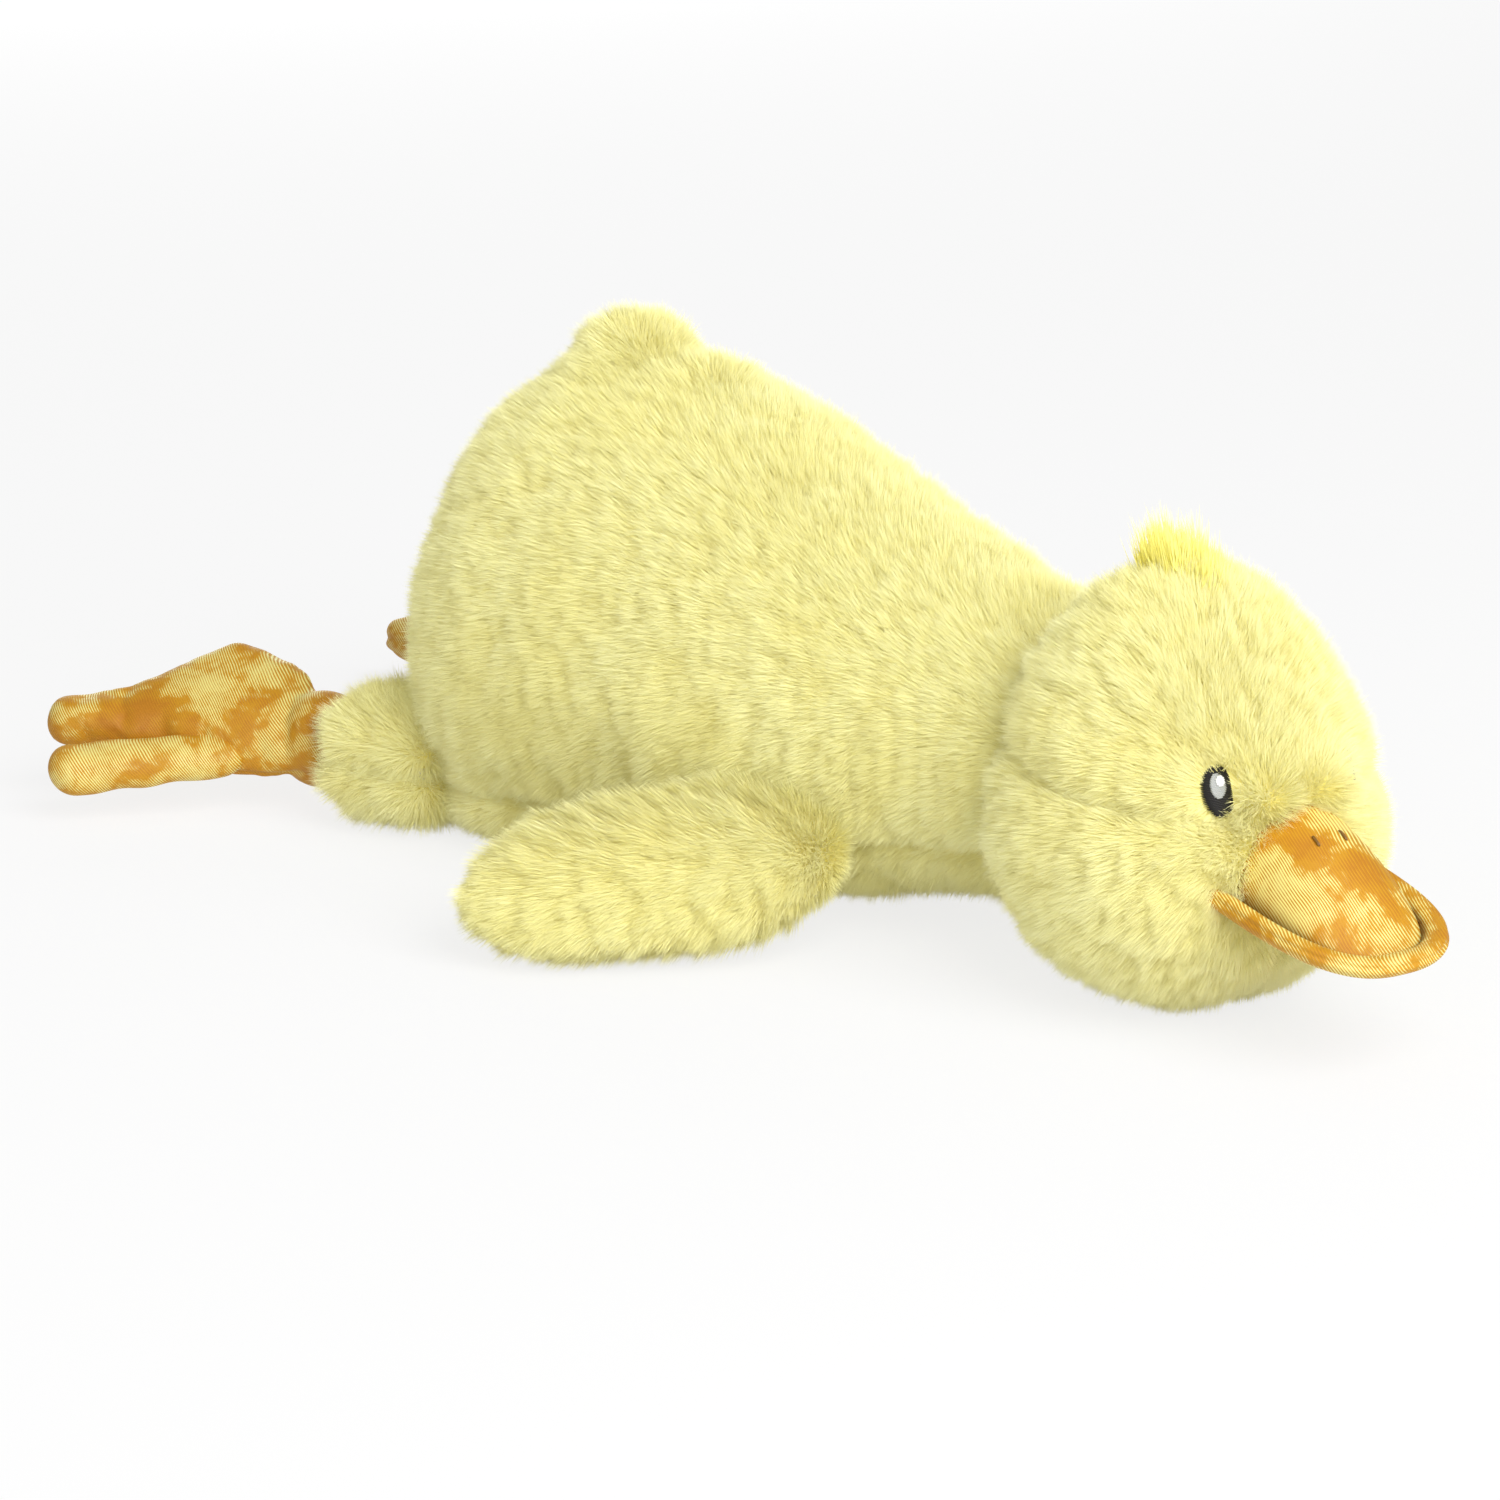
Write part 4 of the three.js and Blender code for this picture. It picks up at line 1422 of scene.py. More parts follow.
@dataclass
class Head:
    """The head, built facing straight ahead: crown and cheek panels, which meet in the dart seams."""

    length: float = 103
    half_width: float = 52.5
    height: float = 120
    floor_cut: float = 0.5
    middle_x: float = 275
    inset: float = 4.6
    seam_z: float = 66
    seam_tilt: float = 7
    eye_z: float = 71
    eye_bearing: float = 28
    eye_reach: float = 9.5
    eye_clear: tuple[float, float, float] = (6.2, 6.2, 7.8)
    bill_ahead: float = 50
    bill_z: float = 44
    stuffing: Stuffing = Stuffing(voxel=4.0, most=2.0)

    @property
    def shape(self) -> SoftForm:
        """The head's form, from the chin up; up in its own frame is its front."""
        rows = ((0.0, .46, .42, .88), (.25, .52, .45, 1.0), (.45, .51, .46, 1.0),
                (.65, .45, .46, .95), (.85, .37, .44, .87), (1.0, .30, .40, .80))
        return SoftForm(self.height + self.floor_cut, 52, 70,
                        sections(self.length, self.length, self.half_width, rows),
                        start_power=2.5, end_power=2.1, up_power=2.15)

    @property
    def frame(self) -> Matrix:
        """From the form's frame to the duck's, with the head straight ahead."""
        return frame_of(Vector((self.middle_x, 0, -self.floor_cut)), Vector((0, 0, 1)), Vector((0, -1, 0)))

    def form(self) -> bpy.types.Object:
        """The bare form of the head."""
        return self.shape.build("head_form", self.frame, self.inset)

    def seam(self) -> Plane:
        """The plane of the dart seams."""
        return (Vector((self.middle_x, 0, self.seam_z)),
                Vector((sine(self.seam_tilt), 0, cosine(self.seam_tilt))))

    def seams(self) -> list[Field]:
        """The dart seams and the middle seam, as distances."""
        return [from_plane(*self.seam()), from_plane(Vector(), Vector((0, 1, 0)))]

    def surface(self, inset: float = 0.0) -> BVHTree:
        """The head's outer surface, to lay things on.

        Args:
            inset: How far it is drawn in.

        Returns:
            The surface, for rays.
        """
        return surface_of(self.shape.build("head_surface", self.frame, inset))

    def eye_frame(self, side: Side) -> Matrix:
        """The frame of an eye: its own Z points out of the head, and its Y up with the eye's lean.

        Args:
            side: Which eye.

        Returns:
            The matrix, from the middle of the head at the eye's height.
        """
        out = Vector((cosine(self.eye_bearing), side.value * sine(self.eye_bearing), 0))
        up = Vector((0, 0, 1))
        frame = Matrix((up.cross(out), up, out)).transposed().to_4x4()
        frame.translation = Vector((self.middle_x, 0, self.eye_z))
        return frame

    def eye_spot(self, side: Side, surface: BVHTree) -> Vector:
        """Where the middle of an eye lies on a surface."""
        frame = self.eye_frame(side)
        out = frame.to_3x3() @ Vector((0, 0, 1))
        hit = surface.ray_cast(frame.translation + out * 200, -out)
        return hit[0]

    def _behind(self, points: np.ndarray) -> np.ndarray:
        """The share of the dart's depth: full on the cheeks, less at the back and the front."""
        ahead = points[:, 0] - self.middle_x
        return np.clip((42 - ahead) / 14, 0, 1) * np.clip((ahead + 38) / 28, 0, 1)

    def _dents(self, dart: Field, eyes: list[Vector]) -> list[Field]:
        """The darts, the eyes' hollows, the swollen bridge between them and the filling's lumps.

        Args:
            dart: The distance from the dart seams.
            eyes: Where the eyes lie.

        Returns:
            The depth of each.
        """
        return [
            furrow(dart, 2.0, 2.6, self._behind),
            # Each eye's hollow, and the bulge between it and the middle
            *(dimple(eye, 1.8, 10) for eye in eyes),
            *(dimple(eye + Vector((4.5, -0.5 * eye.y, -1)), -6.2, 7.5) for eye in eyes),
            # The forehead's bulge over the bill, and the dent low in the right cheek
            dimple(Vector((self.middle_x + 50, 0, 72)), -2.4, 16),
            dimple(Vector((self.middle_x - 14, -50, 26)), 2.0, 9),
            lumps(5, 0.5, 26),
        ]

    def _length(self, dart: Field, eyes: list[Vector]) -> Field:
        """Pile that is longer at the back and between the eyes, and shorter at the bill and in the darts.

        Args:
            dart: The distance from the dart seams.
            eyes: Where the eyes lie.

        Returns:
            The share of the pile's length.
        """
        bill = np.array((self.middle_x + self.bill_ahead, 0, self.bill_z))

        def length(points: np.ndarray) -> np.ndarray:
            """The share at many points."""
            share = 1 - 0.45 * np.exp(-((dart(points) / 2.0) ** 2)) * self._behind(points)
            near = np.linalg.norm(points - bill, axis=1)
            share *= 1 - 0.18 * np.exp(-((near / 34) ** 6))
            for eye in eyes:
                far = np.linalg.norm(points - np.array(eye), axis=1)
                inner = points[:, 1] / eye.y < 0.9
                share *= 1 + np.where(inner, 0.3, -0.35) * np.exp(-((far / self.eye_reach) ** 6))
            share *= 1 + 0.3 * np.clip((self.middle_x - 10 - points[:, 0]) / 25, 0, 1)
            return share * near_floor(points, NEAR_FLOOR, 0.5)

        return length

    def _flow(self, eyes: list[Vector]) -> Field:
        """Pile combed away from the bill, down and off the eyes, but upright between them.

        Args:
            eyes: Where the eyes lie.

        Returns:
            The way it is combed.
        """
        bill = np.array((self.middle_x + self.bill_ahead, 0, self.bill_z))

        def flow(points: np.ndarray) -> np.ndarray:
            """The way at many points."""
            away = points - bill
            far = np.linalg.norm(away, axis=1, keepdims=True)
            share = np.clip((far - 16) / 14, 0.3, 1)
            way = away / far * share - np.array((0, 0, 0.35)) * share
            for eye in eyes:
                off = points - np.array(eye)
                near = np.linalg.norm(off, axis=1, keepdims=True)
                inner = points[:, 1:2] / eye.y < 0.9
                close = np.exp(-((near / self.eye_reach) ** 6))
                way = way * np.where(inner, 1 - 0.8 * close, 1)
                way += off / np.maximum(near, 1e-6) * close * np.where(inner, 0.1, 1.3)
            return way

        return flow

    def _cover(self, eyes: list[Vector]) -> Field:
        """Pile that leaves out the eyes' stitching, and is thin under the chin.

        Args:
            eyes: Where the eyes lie.

        Returns:
            The share of the pile's density.
        """
        def cover(points: np.ndarray) -> np.ndarray:
            """The share at many points."""
            share = near_floor(points, ON_FLOOR, 0.3)
            for eye in eyes:
                far = (points - np.array(eye)) / np.array(self.eye_clear)
                share = np.where(np.linalg.norm(far, axis=1) < 1, 0.0, share)
            return share

        return cover

    def dress(self, form: bpy.types.Object, furrier: Furrier) -> None:
        """Shapes the seams and dimples, splits the skin into its panels and covers them.

        Args:
            form: The filled form.
            furrier: Grows the pile.
        """
        dart = self.seams()[0]
        surface = self.surface()
        eyes = [self.eye_spot(side, surface) for side in Side]
        pressed(form, self._dents(dart, eyes))
        point, up = self.seam()
        left = Vector((0, 1, 0))
        panels = {
            "right_crown_panel": [(point, up), (Vector(), -left)],
            "left_crown_panel": [(point, up), (Vector(), left)],
            "right_cheek_panel": [(point, -up), (Vector(), -left)],
            "left_cheek_panel": [(point, -up), (Vector(), left)],
        }
        for i, (node, planes) in enumerate(panels.items()):
            pile = Pile(ridges=(260, 260, 170), length=0.0062, lean=1.15, stray=0.42, swirl=0.18,
                        ridge_depth=0.25, seed=21 + i)
            furrier.cover(panel_of(form, node + "_cloth", planes), Piece(node, "head", "plush", 0.9),
                          pile, self._flow(eyes), self._length(dart, eyes), self._cover(eyes), HEAD_PLACE)
        discard(form)


@dataclass
class Tuft:
    """The tuft of longer bright pile in the crown seam."""

    length: float = 27
    width: float = 20
    back: float = 3.5
    pile: Pile = Pile(density=6.5e6, length=0.0125, width=0.00045, lean=0.05, ridges=(420, 60, 60),
                      ridge_depth=0.6, swirl=0.16, stray=0.16, bend=0.04, joints=2, seed=31)

    def dress(self, head: Head, furrier: Furrier) -> None:
        """Lays a flat strip of cloth in the crown and grows the tuft on it.

        Args:
            head: The head that carries it.
            furrier: Grows the pile.
        """
        surface = head.surface(head.inset + 0.5)
        middle = head.middle_x - self.back
        ends = [Vector((middle + way * self.length / 2, 0, 200)) for way in (-1, 1)]
        low = min(surface.ray_cast(end, Vector((0, 0, -1)))[0].z for end in ends)
        columns, rows = 18, 16
        points = [
            (middle + self.length * (i / columns - 0.5), self.width * (k / rows - 0.5), low)
            for i in range(columns + 1) for k in range(rows + 1)
        ]
        faces = [(i * (rows + 1) + k, (i + 1) * (rows + 1) + k, (i + 1) * (rows + 1) + k + 1,
                  i * (rows + 1) + k + 1) for i in range(columns) for k in range(rows)]
        strip = mesh_of("tuft_cloth", points, faces)
        cloth = panel_of(strip, "tuft_strip", [], 0.8)
        discard(strip)
        rise = (head.height - head.inset - low) * MM / self.pile.length

        def length(spots: np.ndarray) -> np.ndarray:
            """Longest in the middle, stepped to both ends."""
            steps = 0.2 * np.sin(spots[:, 0] * 1.9) + 0.2 * np.sin(spots[:, 1] * 2.3 + 1)
            return np.clip(1.0 + rise - 0.5 * reach(spots) ** 2 + steps, 0.45, 1.5)

        def reach(spots: np.ndarray) -> np.ndarray:
            """How far out each spot lies on the tuft's oval, with 1 at its edge."""
            return np.hypot((spots[:, 0] - middle) / (self.length / 2), spots[:, 1] / (self.width / 2))

        def cover(spots: np.ndarray) -> np.ndarray:
            """Strands on the oval only."""
            return np.clip((0.95 - reach(spots)) * 8, 0, 1)

        furrier.cover(cloth, Piece("tuft", "head", "tuft"), self.pile, combed((-1, 0, 0)), length, cover,
                      turn=HEAD_PLACE)


@dataclass
class Limb:
    """A limb in its own frame: a form whose top and under cloths part at its own XY plane."""

    name: str
    body: str
    side: Side
    shape: SoftForm
    frame: Matrix
    pile: Pile
    fill: float = 0.8
    inset: float = 5.0
    stuffing: Stuffing = Stuffing(voxel=4.0, most=2.5)

    def form(self) -> bpy.types.Object:
        """The bare form of the limb, on its own side."""
        made = self.shape.build(f"{self.side.label}_{self.name}_form", self.frame, self.inset)
        return mirror(made) if self.side is Side.LEFT else made

    def own(self, vector: Vector) -> Vector:
        """A direction of the right limb on this limb's side."""
        return Vector((vector.x, -self.side.value * vector.y, vector.z))

    def plane(self) -> Plane:
        """The plane in which the two cloths part, with its normal on the top's side."""
        return self.own(self.frame.translation), self.own(self.frame.to_3x3() @ Vector((0, 0, 1)))

    def along(self) -> Vector:
        """The direction from the limb's root to its tip."""
        return self.own(self.frame.to_3x3() @ Vector((1, 0, 0)))

    def dress(self, form: bpy.types.Object, furrier: Furrier) -> None:
        """Presses the edge seam, splits the skin into its two cloths and covers them.

        Args:
            form: The filled form.
            furrier: Grows the pile.
        """
        point, up = self.plane()
        edge = from_plane(point, up)
        pressed(form, [furrow(edge, 1.6, 3.0)])
        way = np.array(self.along() + Vector((0, 0, -0.25)))

        def flow(points: np.ndarray) -> np.ndarray:
            """Towards the tip, and more upright at the round root."""
            off = np.linalg.norm(points - np.array(point), axis=1, keepdims=True)
            return way * np.clip(off / 30, 0.5, 1)

        def length(points: np.ndarray) -> np.ndarray:
            """Shorter pile at the edge seam, the root and on the floor."""
            near = 1 - 0.35 * np.exp(-((edge(points) / 2.5) ** 2))
            off = np.linalg.norm(points - np.array(point), axis=1)
            near *= 1 - 0.22 * np.exp(-((off / 24) ** 4))
            return near * near_floor(points, NEAR_FLOOR, 0.55)

        def cover(points: np.ndarray) -> np.ndarray:
            """Thinner pile on the floor."""
            return near_floor(points, ON_FLOOR, 0.4)

        for word, facing in (("top", 1), ("under", -1)):
            node = f"{self.side.label}_{self.name}_{word}"
            panel = panel_of(form, node + "_cloth", [(point, up * facing)])
            furrier.cover(panel, Piece(node, self.body, "plush", self.fill), self.pile,
                          flow, length, cover)
        discard(form)


def wing(side: Side) -> Limb:
    """A wing: a padded paddle from the shoulder, whose lower edge lies on the floor.

    Args:
        side: Which wing.

    Returns:
        The wing.
    """
    rows = ((0.0, .88, .88, .88), (.35, 1.0, 1.0, 1.0), (.65, .92, .92, .96), (1.0, .68, .68, .78))
    shape = SoftForm(118, 38, 30, sections(17, 17, 29.5, rows), up_power=1.8)
    sweep, drop, tilt = 49, 7, 45
    flat = Vector((-cosine(sweep), -sine(sweep), 0))
    along = flat * cosine(drop) + Vector((0, 0, -sine(drop)))
    across = Vector((0, 0, 1)).cross(flat) * cosine(tilt) + Vector((0, 0, -sine(tilt)))
    frame = frame_of(Vector((189, -43, 31)), along, across)
    pile = Pile(ridges=(240, 240, 160), length=0.007, lean=1.1, stray=0.42, ridge_depth=0.3,
                seed=41 + side.value)
    return Limb("wing", f"{side.label}_wing", side, shape, frame, pile)


LEG_ALONG = Vector((-cosine(12), -sine(12), 0))
HIP = Vector((40, -44, 21.5))
ANKLE = HIP + LEG_ALONG * 58.6


def cuff(side: Side) -> Limb:
    """A leg's plush cuff, whose longer pile hangs over the foot's edge.

    Args:
        side: Which leg.

    Returns:
        The cuff.
    """
    shape = SoftForm(56, 12, 12, sections(22, 22, 25, ((0, 1, 1, 1), (1, 1, 1, 1))), up_power=2.2)
    frame = frame_of(HIP, LEG_ALONG, Vector((0, -1, 0)))
    pile = Pile(density=8e6, length=0.0078, ridges=(210, 210, 150), lean=0.65, stray=0.5,
                seed=51 + side.value)
    return Limb("cuff", f"{side.label}_leg", side, shape, frame, pile, inset=6.3,
                stuffing=Stuffing(voxel=3.5, most=2.5))


@dataclass
class Foot:
    """A webbed foot of crushed velvet: a leaf with a long toe, and a toe apart under its edge."""

    side: Side
    toe_out: float
    tilt: float
    rise: float
    length: float = 86
    width: float = 46
    thickness: float = 20
    inset: float = 0.8
    heel: float = 15
    stuffing: Stuffing = Stuffing(voxel=1.7, pressure=3.0, most=0.9, spare=0.05)

    @classmethod
    def make(cls, side: Side) -> "Foot":
        """The foot of a side, as it lies.

        Args:
            side: Which foot.

        Returns:
            The foot.
        """
        return cls(side, 36, 45, 2) if side is Side.RIGHT else cls(side, -4, 20, -6)

    @property
    def frame(self) -> Matrix:
        """From the foot's frame to the right side of the duck."""
        along = Vector((-cosine(self.toe_out), -sine(self.toe_out), 0))
        outward = Vector((0, 0, 1)).cross(along)
        across = outward * -cosine(self.tilt) + Vector((0, 0, sine(self.tilt)))
        return frame_of(ANKLE + Vector((0, 0, self.rise)), along, across)

    def form(self) -> bpy.types.Object:
        """The leaf, the heel and the toe that thickens its tip as one bare form.

        Returns:
            The form, on its own side.
        """
        rows = ((0.0, .30, .30, .75), (.16, .53, .34, .95), (.32, .64, .34, 1.0), (.46, .58, .28, .9),
                (.66, .36, .16, .7), (.8, .25, .15, .65), (1.0, .20, .15, .65))
        half = self.thickness / 2
        leaf = SoftForm(self.length, 8, 12, tuple(
            Section(t, up * half, up * half, left * self.width, right * self.width)
            for t, left, right, up in rows
        ), up_power=1.9)
        heel = self.heel - self.inset
        parts = [leaf.build("leaf", self.frame, self.inset), ball("heel", ANKLE, Vector((heel,) * 3)),
                 self._toe(1, 0, 2, 0, 0)]
        made = joined(f"{self.side.label}_foot_form", parts)
        return mirror(made) if self.side is Side.LEFT else made

    def lower_toe(self) -> bpy.types.Object:
        """The toe that lies apart under the leaf's edge, on its own side."""
        made = self._toe(7, 23, 12, 14, 10)
        return mirror(made) if self.side is Side.LEFT else made

    def _toe(self, back: float, aside: float, under: float, spread: float, dip: float) -> bpy.types.Object:
        """One toe on the right side, placed by its tip.

        Args:
            back: How far its tip lies behind the leaf's.
            aside: How far it lies to the leaf's right.
            under: How far it lies below the leaf.
            spread: How far it spreads, in degrees.
            dip: How far it dips, in degrees.

        Returns:
            The toe.
        """
        long = 60
        shape = SoftForm(long, 8, 8, sections(6.5, 6.5, 9, ((0, .8, .8, .8), (1, 1, 1, 1))))
        swing = (Matrix.Translation((self.length - back, -aside, -under))
                 @ Matrix.Rotation(math.radians(dip), 4, "Y")
                 @ Matrix.Rotation(math.radians(-spread), 4, "Z")
                 @ Matrix.Translation((-long, 0, 0)))
        return shape.build("toe", self.frame @ swing, self.inset - 0.4)

    def plane(self) -> Plane:
        """The plane in which top and sole part, with its normal on the top's side."""
        flip = Matrix.Scale(-1, 4, (0, 1, 0)) if self.side is Side.LEFT else Matrix.Identity(4)
        normal = flip.to_3x3() @ self.frame.to_3x3() @ Vector((0, 0, 1))
        return flip @ self.frame.translation, normal

    def dress(self, form: bpy.types.Object, finishes: Finishes) -> None:
        """Wrinkles the velvet, splits it into top and sole and finishes them.

        Args:
            form: The filled form.
            finishes: The duck's finishes.
        """
        point, up = self.plane()
        edge = from_plane(point, up)
        ironed = form.modifiers.new("Smooth", "SMOOTH")
        ironed.factor, ironed.iterations = 0.5, 10
        settle(form)
        form = joined(form.name, [form, self.lower_toe()])
        pressed(form, [furrow(edge, 0.7, 1.2), lumps(7, 0.35, 13)])
        for word, facing in (("top", 1), ("sole", -1)):
            node = f"{self.side.label}_foot_{word}"
            cloth = panel_of(form, node + "_cloth", [(point, up * facing)], 0.7)
            cloth.data.transform(TO_FRAME)
            cloth.data.materials.append(finishes.velvet)
            smooth(cloth.data)
            Piece(node, f"{self.side.label}_foot", "velvet", 0.8).finish(cloth)
        discard(form)


@dataclass
class Bill:
    """The velvet bill: a dome inside a rolled lip that turns up, over a shallow pouch."""

    length: float = 39.5
    half_width: float = 26.5
    dome: float = 26
    fall: float = 0.84
    pouch: float = 9
    rim: float = 6
    roundness: float = 45
    pitch: float = 10
    curl: float = 2
    height: float = 38
    sink: float = 20
    face_x: float = 326.5
    roll: float = 3.7
    roll_depth: float = 2.9
    turn_up: float = 20
    roll_out: float = 0.85
    roll_up: float = 0.9
    corner: float = 7
    crease: float = 0.8
    cloth: float = 0.9

    @property
    def frame(self) -> Matrix:
        """From the bill's frame to the duck's, with the head straight ahead."""
        forward = Vector((cosine(self.pitch), 0, -sine(self.pitch)))
        root = Vector((self.face_x, 0, self.height)) - forward * self.sink
        return frame_of(root, forward, Vector((0, 1, 0)))

    def _cap(self, inset: float) -> bpy.types.Object:
        """The dome and the pouch as one closed form, in the bill's own frame."""
        half = self.half_width - self.rim
        rows = tuple(
            Section(t, self.dome * (1 - self.fall * t * t), self.pouch * (1 - 0.4 * t * t), half, half)
            for t in (0, 0.25, 0.5, 0.75, 1)
        )
        shape = SoftForm(self.sink + self.length - self.rim, 0.8, self.roundness - self.rim, rows,
                         end_power=3, stations=90, around=128)
        return shape.build("bill_cap", Matrix.Identity(4), inset)

    def _outline(self, count: int) -> list[tuple[Vector, Vector]]:
        """Points along the foot of the dome, from the right corner to the left, each with its way out."""
        half, long = self.half_width - self.rim, self.sink + self.length - self.rim
        roundness = self.roundness - self.rim
        found = []
        for i in range(count + 1):
            angle = math.pi * (i / count - 0.5)
            c, s = math.cos(angle), math.sin(angle)
            x = long - roundness + roundness * abs(c) ** (2 / 3)
            y = half * math.copysign(abs(s) ** (2 / 3), s)
            found.append(Vector((x, y, 0)))
        start = [Vector((x, -half, 0)) for x in np.linspace(self.corner - 1, long - roundness - 1, 6)
                 if self.corner < long - roundness - 1]
        found = [p for p in found if p.x > self.corner]
        end = [Vector((p.x, half, 0)) for p in reversed(start)]
        line = start + found + end
        result = []
        for i, p in enumerate(line):
            ahead = line[min(i + 1, len(line) - 1)] - line[max(i - 1, 0)]
            out = Vector((ahead.y, -ahead.x, 0)).normalized()
            result.append((p, out))
        return result

    def _roll(self) -> bpy.types.Object:
        """The rolled lip along the foot of the dome, as a closed tube with a groove for its seam."""
        around = 40
        line = self._outline(72)
        rings = []
        for i, (p, out) in enumerate(line):
            from_end = min(i, len(line) - 1 - i)
            small = min(1.0, math.sin(min((from_end + 0.5) / 2, 1) * math.pi / 2) ** 0.5)
            tilt = out * cosine(self.turn_up) + Vector((0, 0, sine(self.turn_up)))
            stand = out * -sine(self.turn_up) + Vector((0, 0, cosine(self.turn_up)))
            centre = p + out * (self.roll * self.roll_out) + Vector((0, 0, self.roll_up))
            ring = []
            for k in range(around):
                a = 2 * math.pi * k / around
                seam = 1 - 0.16 * math.exp(-(((a + 0.5) % (2 * math.pi) - 0.5) / 0.22) ** 2)
                ring.append(centre + tilt * (self.roll * small * seam * math.cos(a))
                            + stand * (self.roll_depth * small * math.sin(a)))
            rings.append(ring)
        return tube("bill_roll", rings)

    def _curled(self, made: bpy.types.Object) -> None:
        """Bends the sides of the bill up."""
        points = places(made.data)
        share = np.minimum(np.abs(points[:, 1]) / self.half_width, 1)
        points[:, 2] += self.curl * share ** 2
        place(made.data, points)

    def _crease(self, mesh: bpy.types.Mesh) -> None:
        """Marks the crease between the dome and the lip, where the velvet gets painted shade."""
        line = np.array([(p.x, p.y) for p, _ in self._outline(400)])
        spots = places(mesh)[:, :2]
        near = np.array([np.min(np.linalg.norm(line - spot, axis=1)) for spot in spots])
        mark = mesh.attributes.new("crease", "FLOAT", "POINT")
        mark.data.foreach_set("value", np.exp(-((near / self.crease) ** 2)).astype(np.float32))

    def surface(self) -> BVHTree:
        """The dome's outer surface in the bill's own frame, to lay the nostrils on."""
        cap = self._cap(0)
        self._curled(cap)
        return surface_of(cap)

    def dress(self, finishes: Finishes) -> None:
        """Builds the upper and the lower bill and finishes them.

        Args:
            finishes: The duck's finishes.
        """
        floor = Vector((0, 0, 0.2))
        for node, facing in (("upper_bill", 1), ("lower_bill", -1)):
            parts = []
            for source in (self._cap(0.2), self._roll()):
                self._curled(source)
                parts.append(panel_of(source, "bill_part", [(floor, Vector((0, 0, facing)))], self.cloth))
                discard(source)
            made = joined(node + "_cloth", parts)
            self._crease(made.data)
            made.data.transform(TO_FRAME @ HEAD_PLACE @ self.frame)
            made.data.materials.append(finishes.velvet)
            smooth(made.data)
            Piece(node, "head", "velvet", 0.9).finish(made)


@dataclass
class Embroidery:
    """Satin stitches in an oval, laid on a surface: rows of thread that a Geometry Nodes tree sets."""

    pitch: float = 0.42
    thread: float = 0.5

    def __post_init__(self) -> None:
        """Builds the tree."""
        self.tree = GeometryTree("satin_stitches", {
            "Width": "Float", "Height": "Float", "Rows": "Int", "Thread": "Float", "Seed": "Int",
            "Finish": "Material",
        })
        self._wire()

    def _wire(self) -> None:
        """Adds the nodes: a row of points up the oval, a thread across it at each."""
        tree, inlet = self.tree, self.tree.inlet
        row = tree.out("GeometryNodeInputIndex")
        share = (row + 0.5) / inlet["Rows"] * 2.0 - 1.0
        chord = tree.out("ShaderNodeMath", {"operation": "SQRT"}, {0: (1.0 - share * share).clamped()})
        line = tree.out("GeometryNodeMeshLine", {"mode": "OFFSET"},
                        {"Count": inlet["Rows"], "Offset": (0, 0, 0)})
        y = share * inlet["Height"] * 0.5
        spots = tree.out("GeometryNodeSetPosition", {}, {
            "Geometry": line, "Position": tree.out("ShaderNodeCombineXYZ", {}, {"Y": y}),
        })
        vary = tree.out("FunctionNodeRandomValue", {"data_type": "FLOAT"},
                        {2: 0.97, 3: 1.05, "Seed": inlet["Seed"]}, 1)
        size = tree.out("ShaderNodeCombineXYZ", {}, {
            "X": chord * inlet["Width"] * vary, "Y": inlet["Thread"], "Z": inlet["Thread"]})
        placed = tree.out("GeometryNodeInstanceOnPoints", {},
                          {"Points": spots, "Instance": inlet["Geometry"], "Scale": size})
        real = tree.out("GeometryNodeRealizeInstances", {}, {"Geometry": placed})
        tree.give(tree.out("GeometryNodeSetMaterial", {}, {"Geometry": real, "Material": inlet["Finish"]}))

    @staticmethod
    def _strand() -> bpy.types.Object:
        """A thread of unit length and thickness along X, closed at both ends."""
        along, around = 10, 6
        rings = []
        for i in range(along + 1):
            x = i / along - 0.5
            half = 0.5 * math.sqrt(max(1 - abs(2 * x) ** 8, 0.04))
            turns = [2 * math.pi * k / around for k in range(around)]
            rings.append([Vector((x, half * math.cos(a), half * math.sin(a))) for a in turns])
        return tube("thread", rings)

    def sew(self, name: str, width: float, height: float, finish: bpy.types.Material,
            seed: int) -> bpy.types.Object:
        """Sews a flat oval in its own XY plane.

        Args:
            name: The object's name.
            width: The oval's width.
            height: Its height.
            finish: The thread's material.
            seed: Varies the lengths of the stitches.

        Returns:
            The oval.
        """
        made = self._strand()
        made.name = name
        return self.tree.run(made, {
            "Width": width, "Height": height, "Rows": max(round(height / self.pitch), 2),
            "Thread": self.thread, "Seed": seed, "Finish": finish,
        })


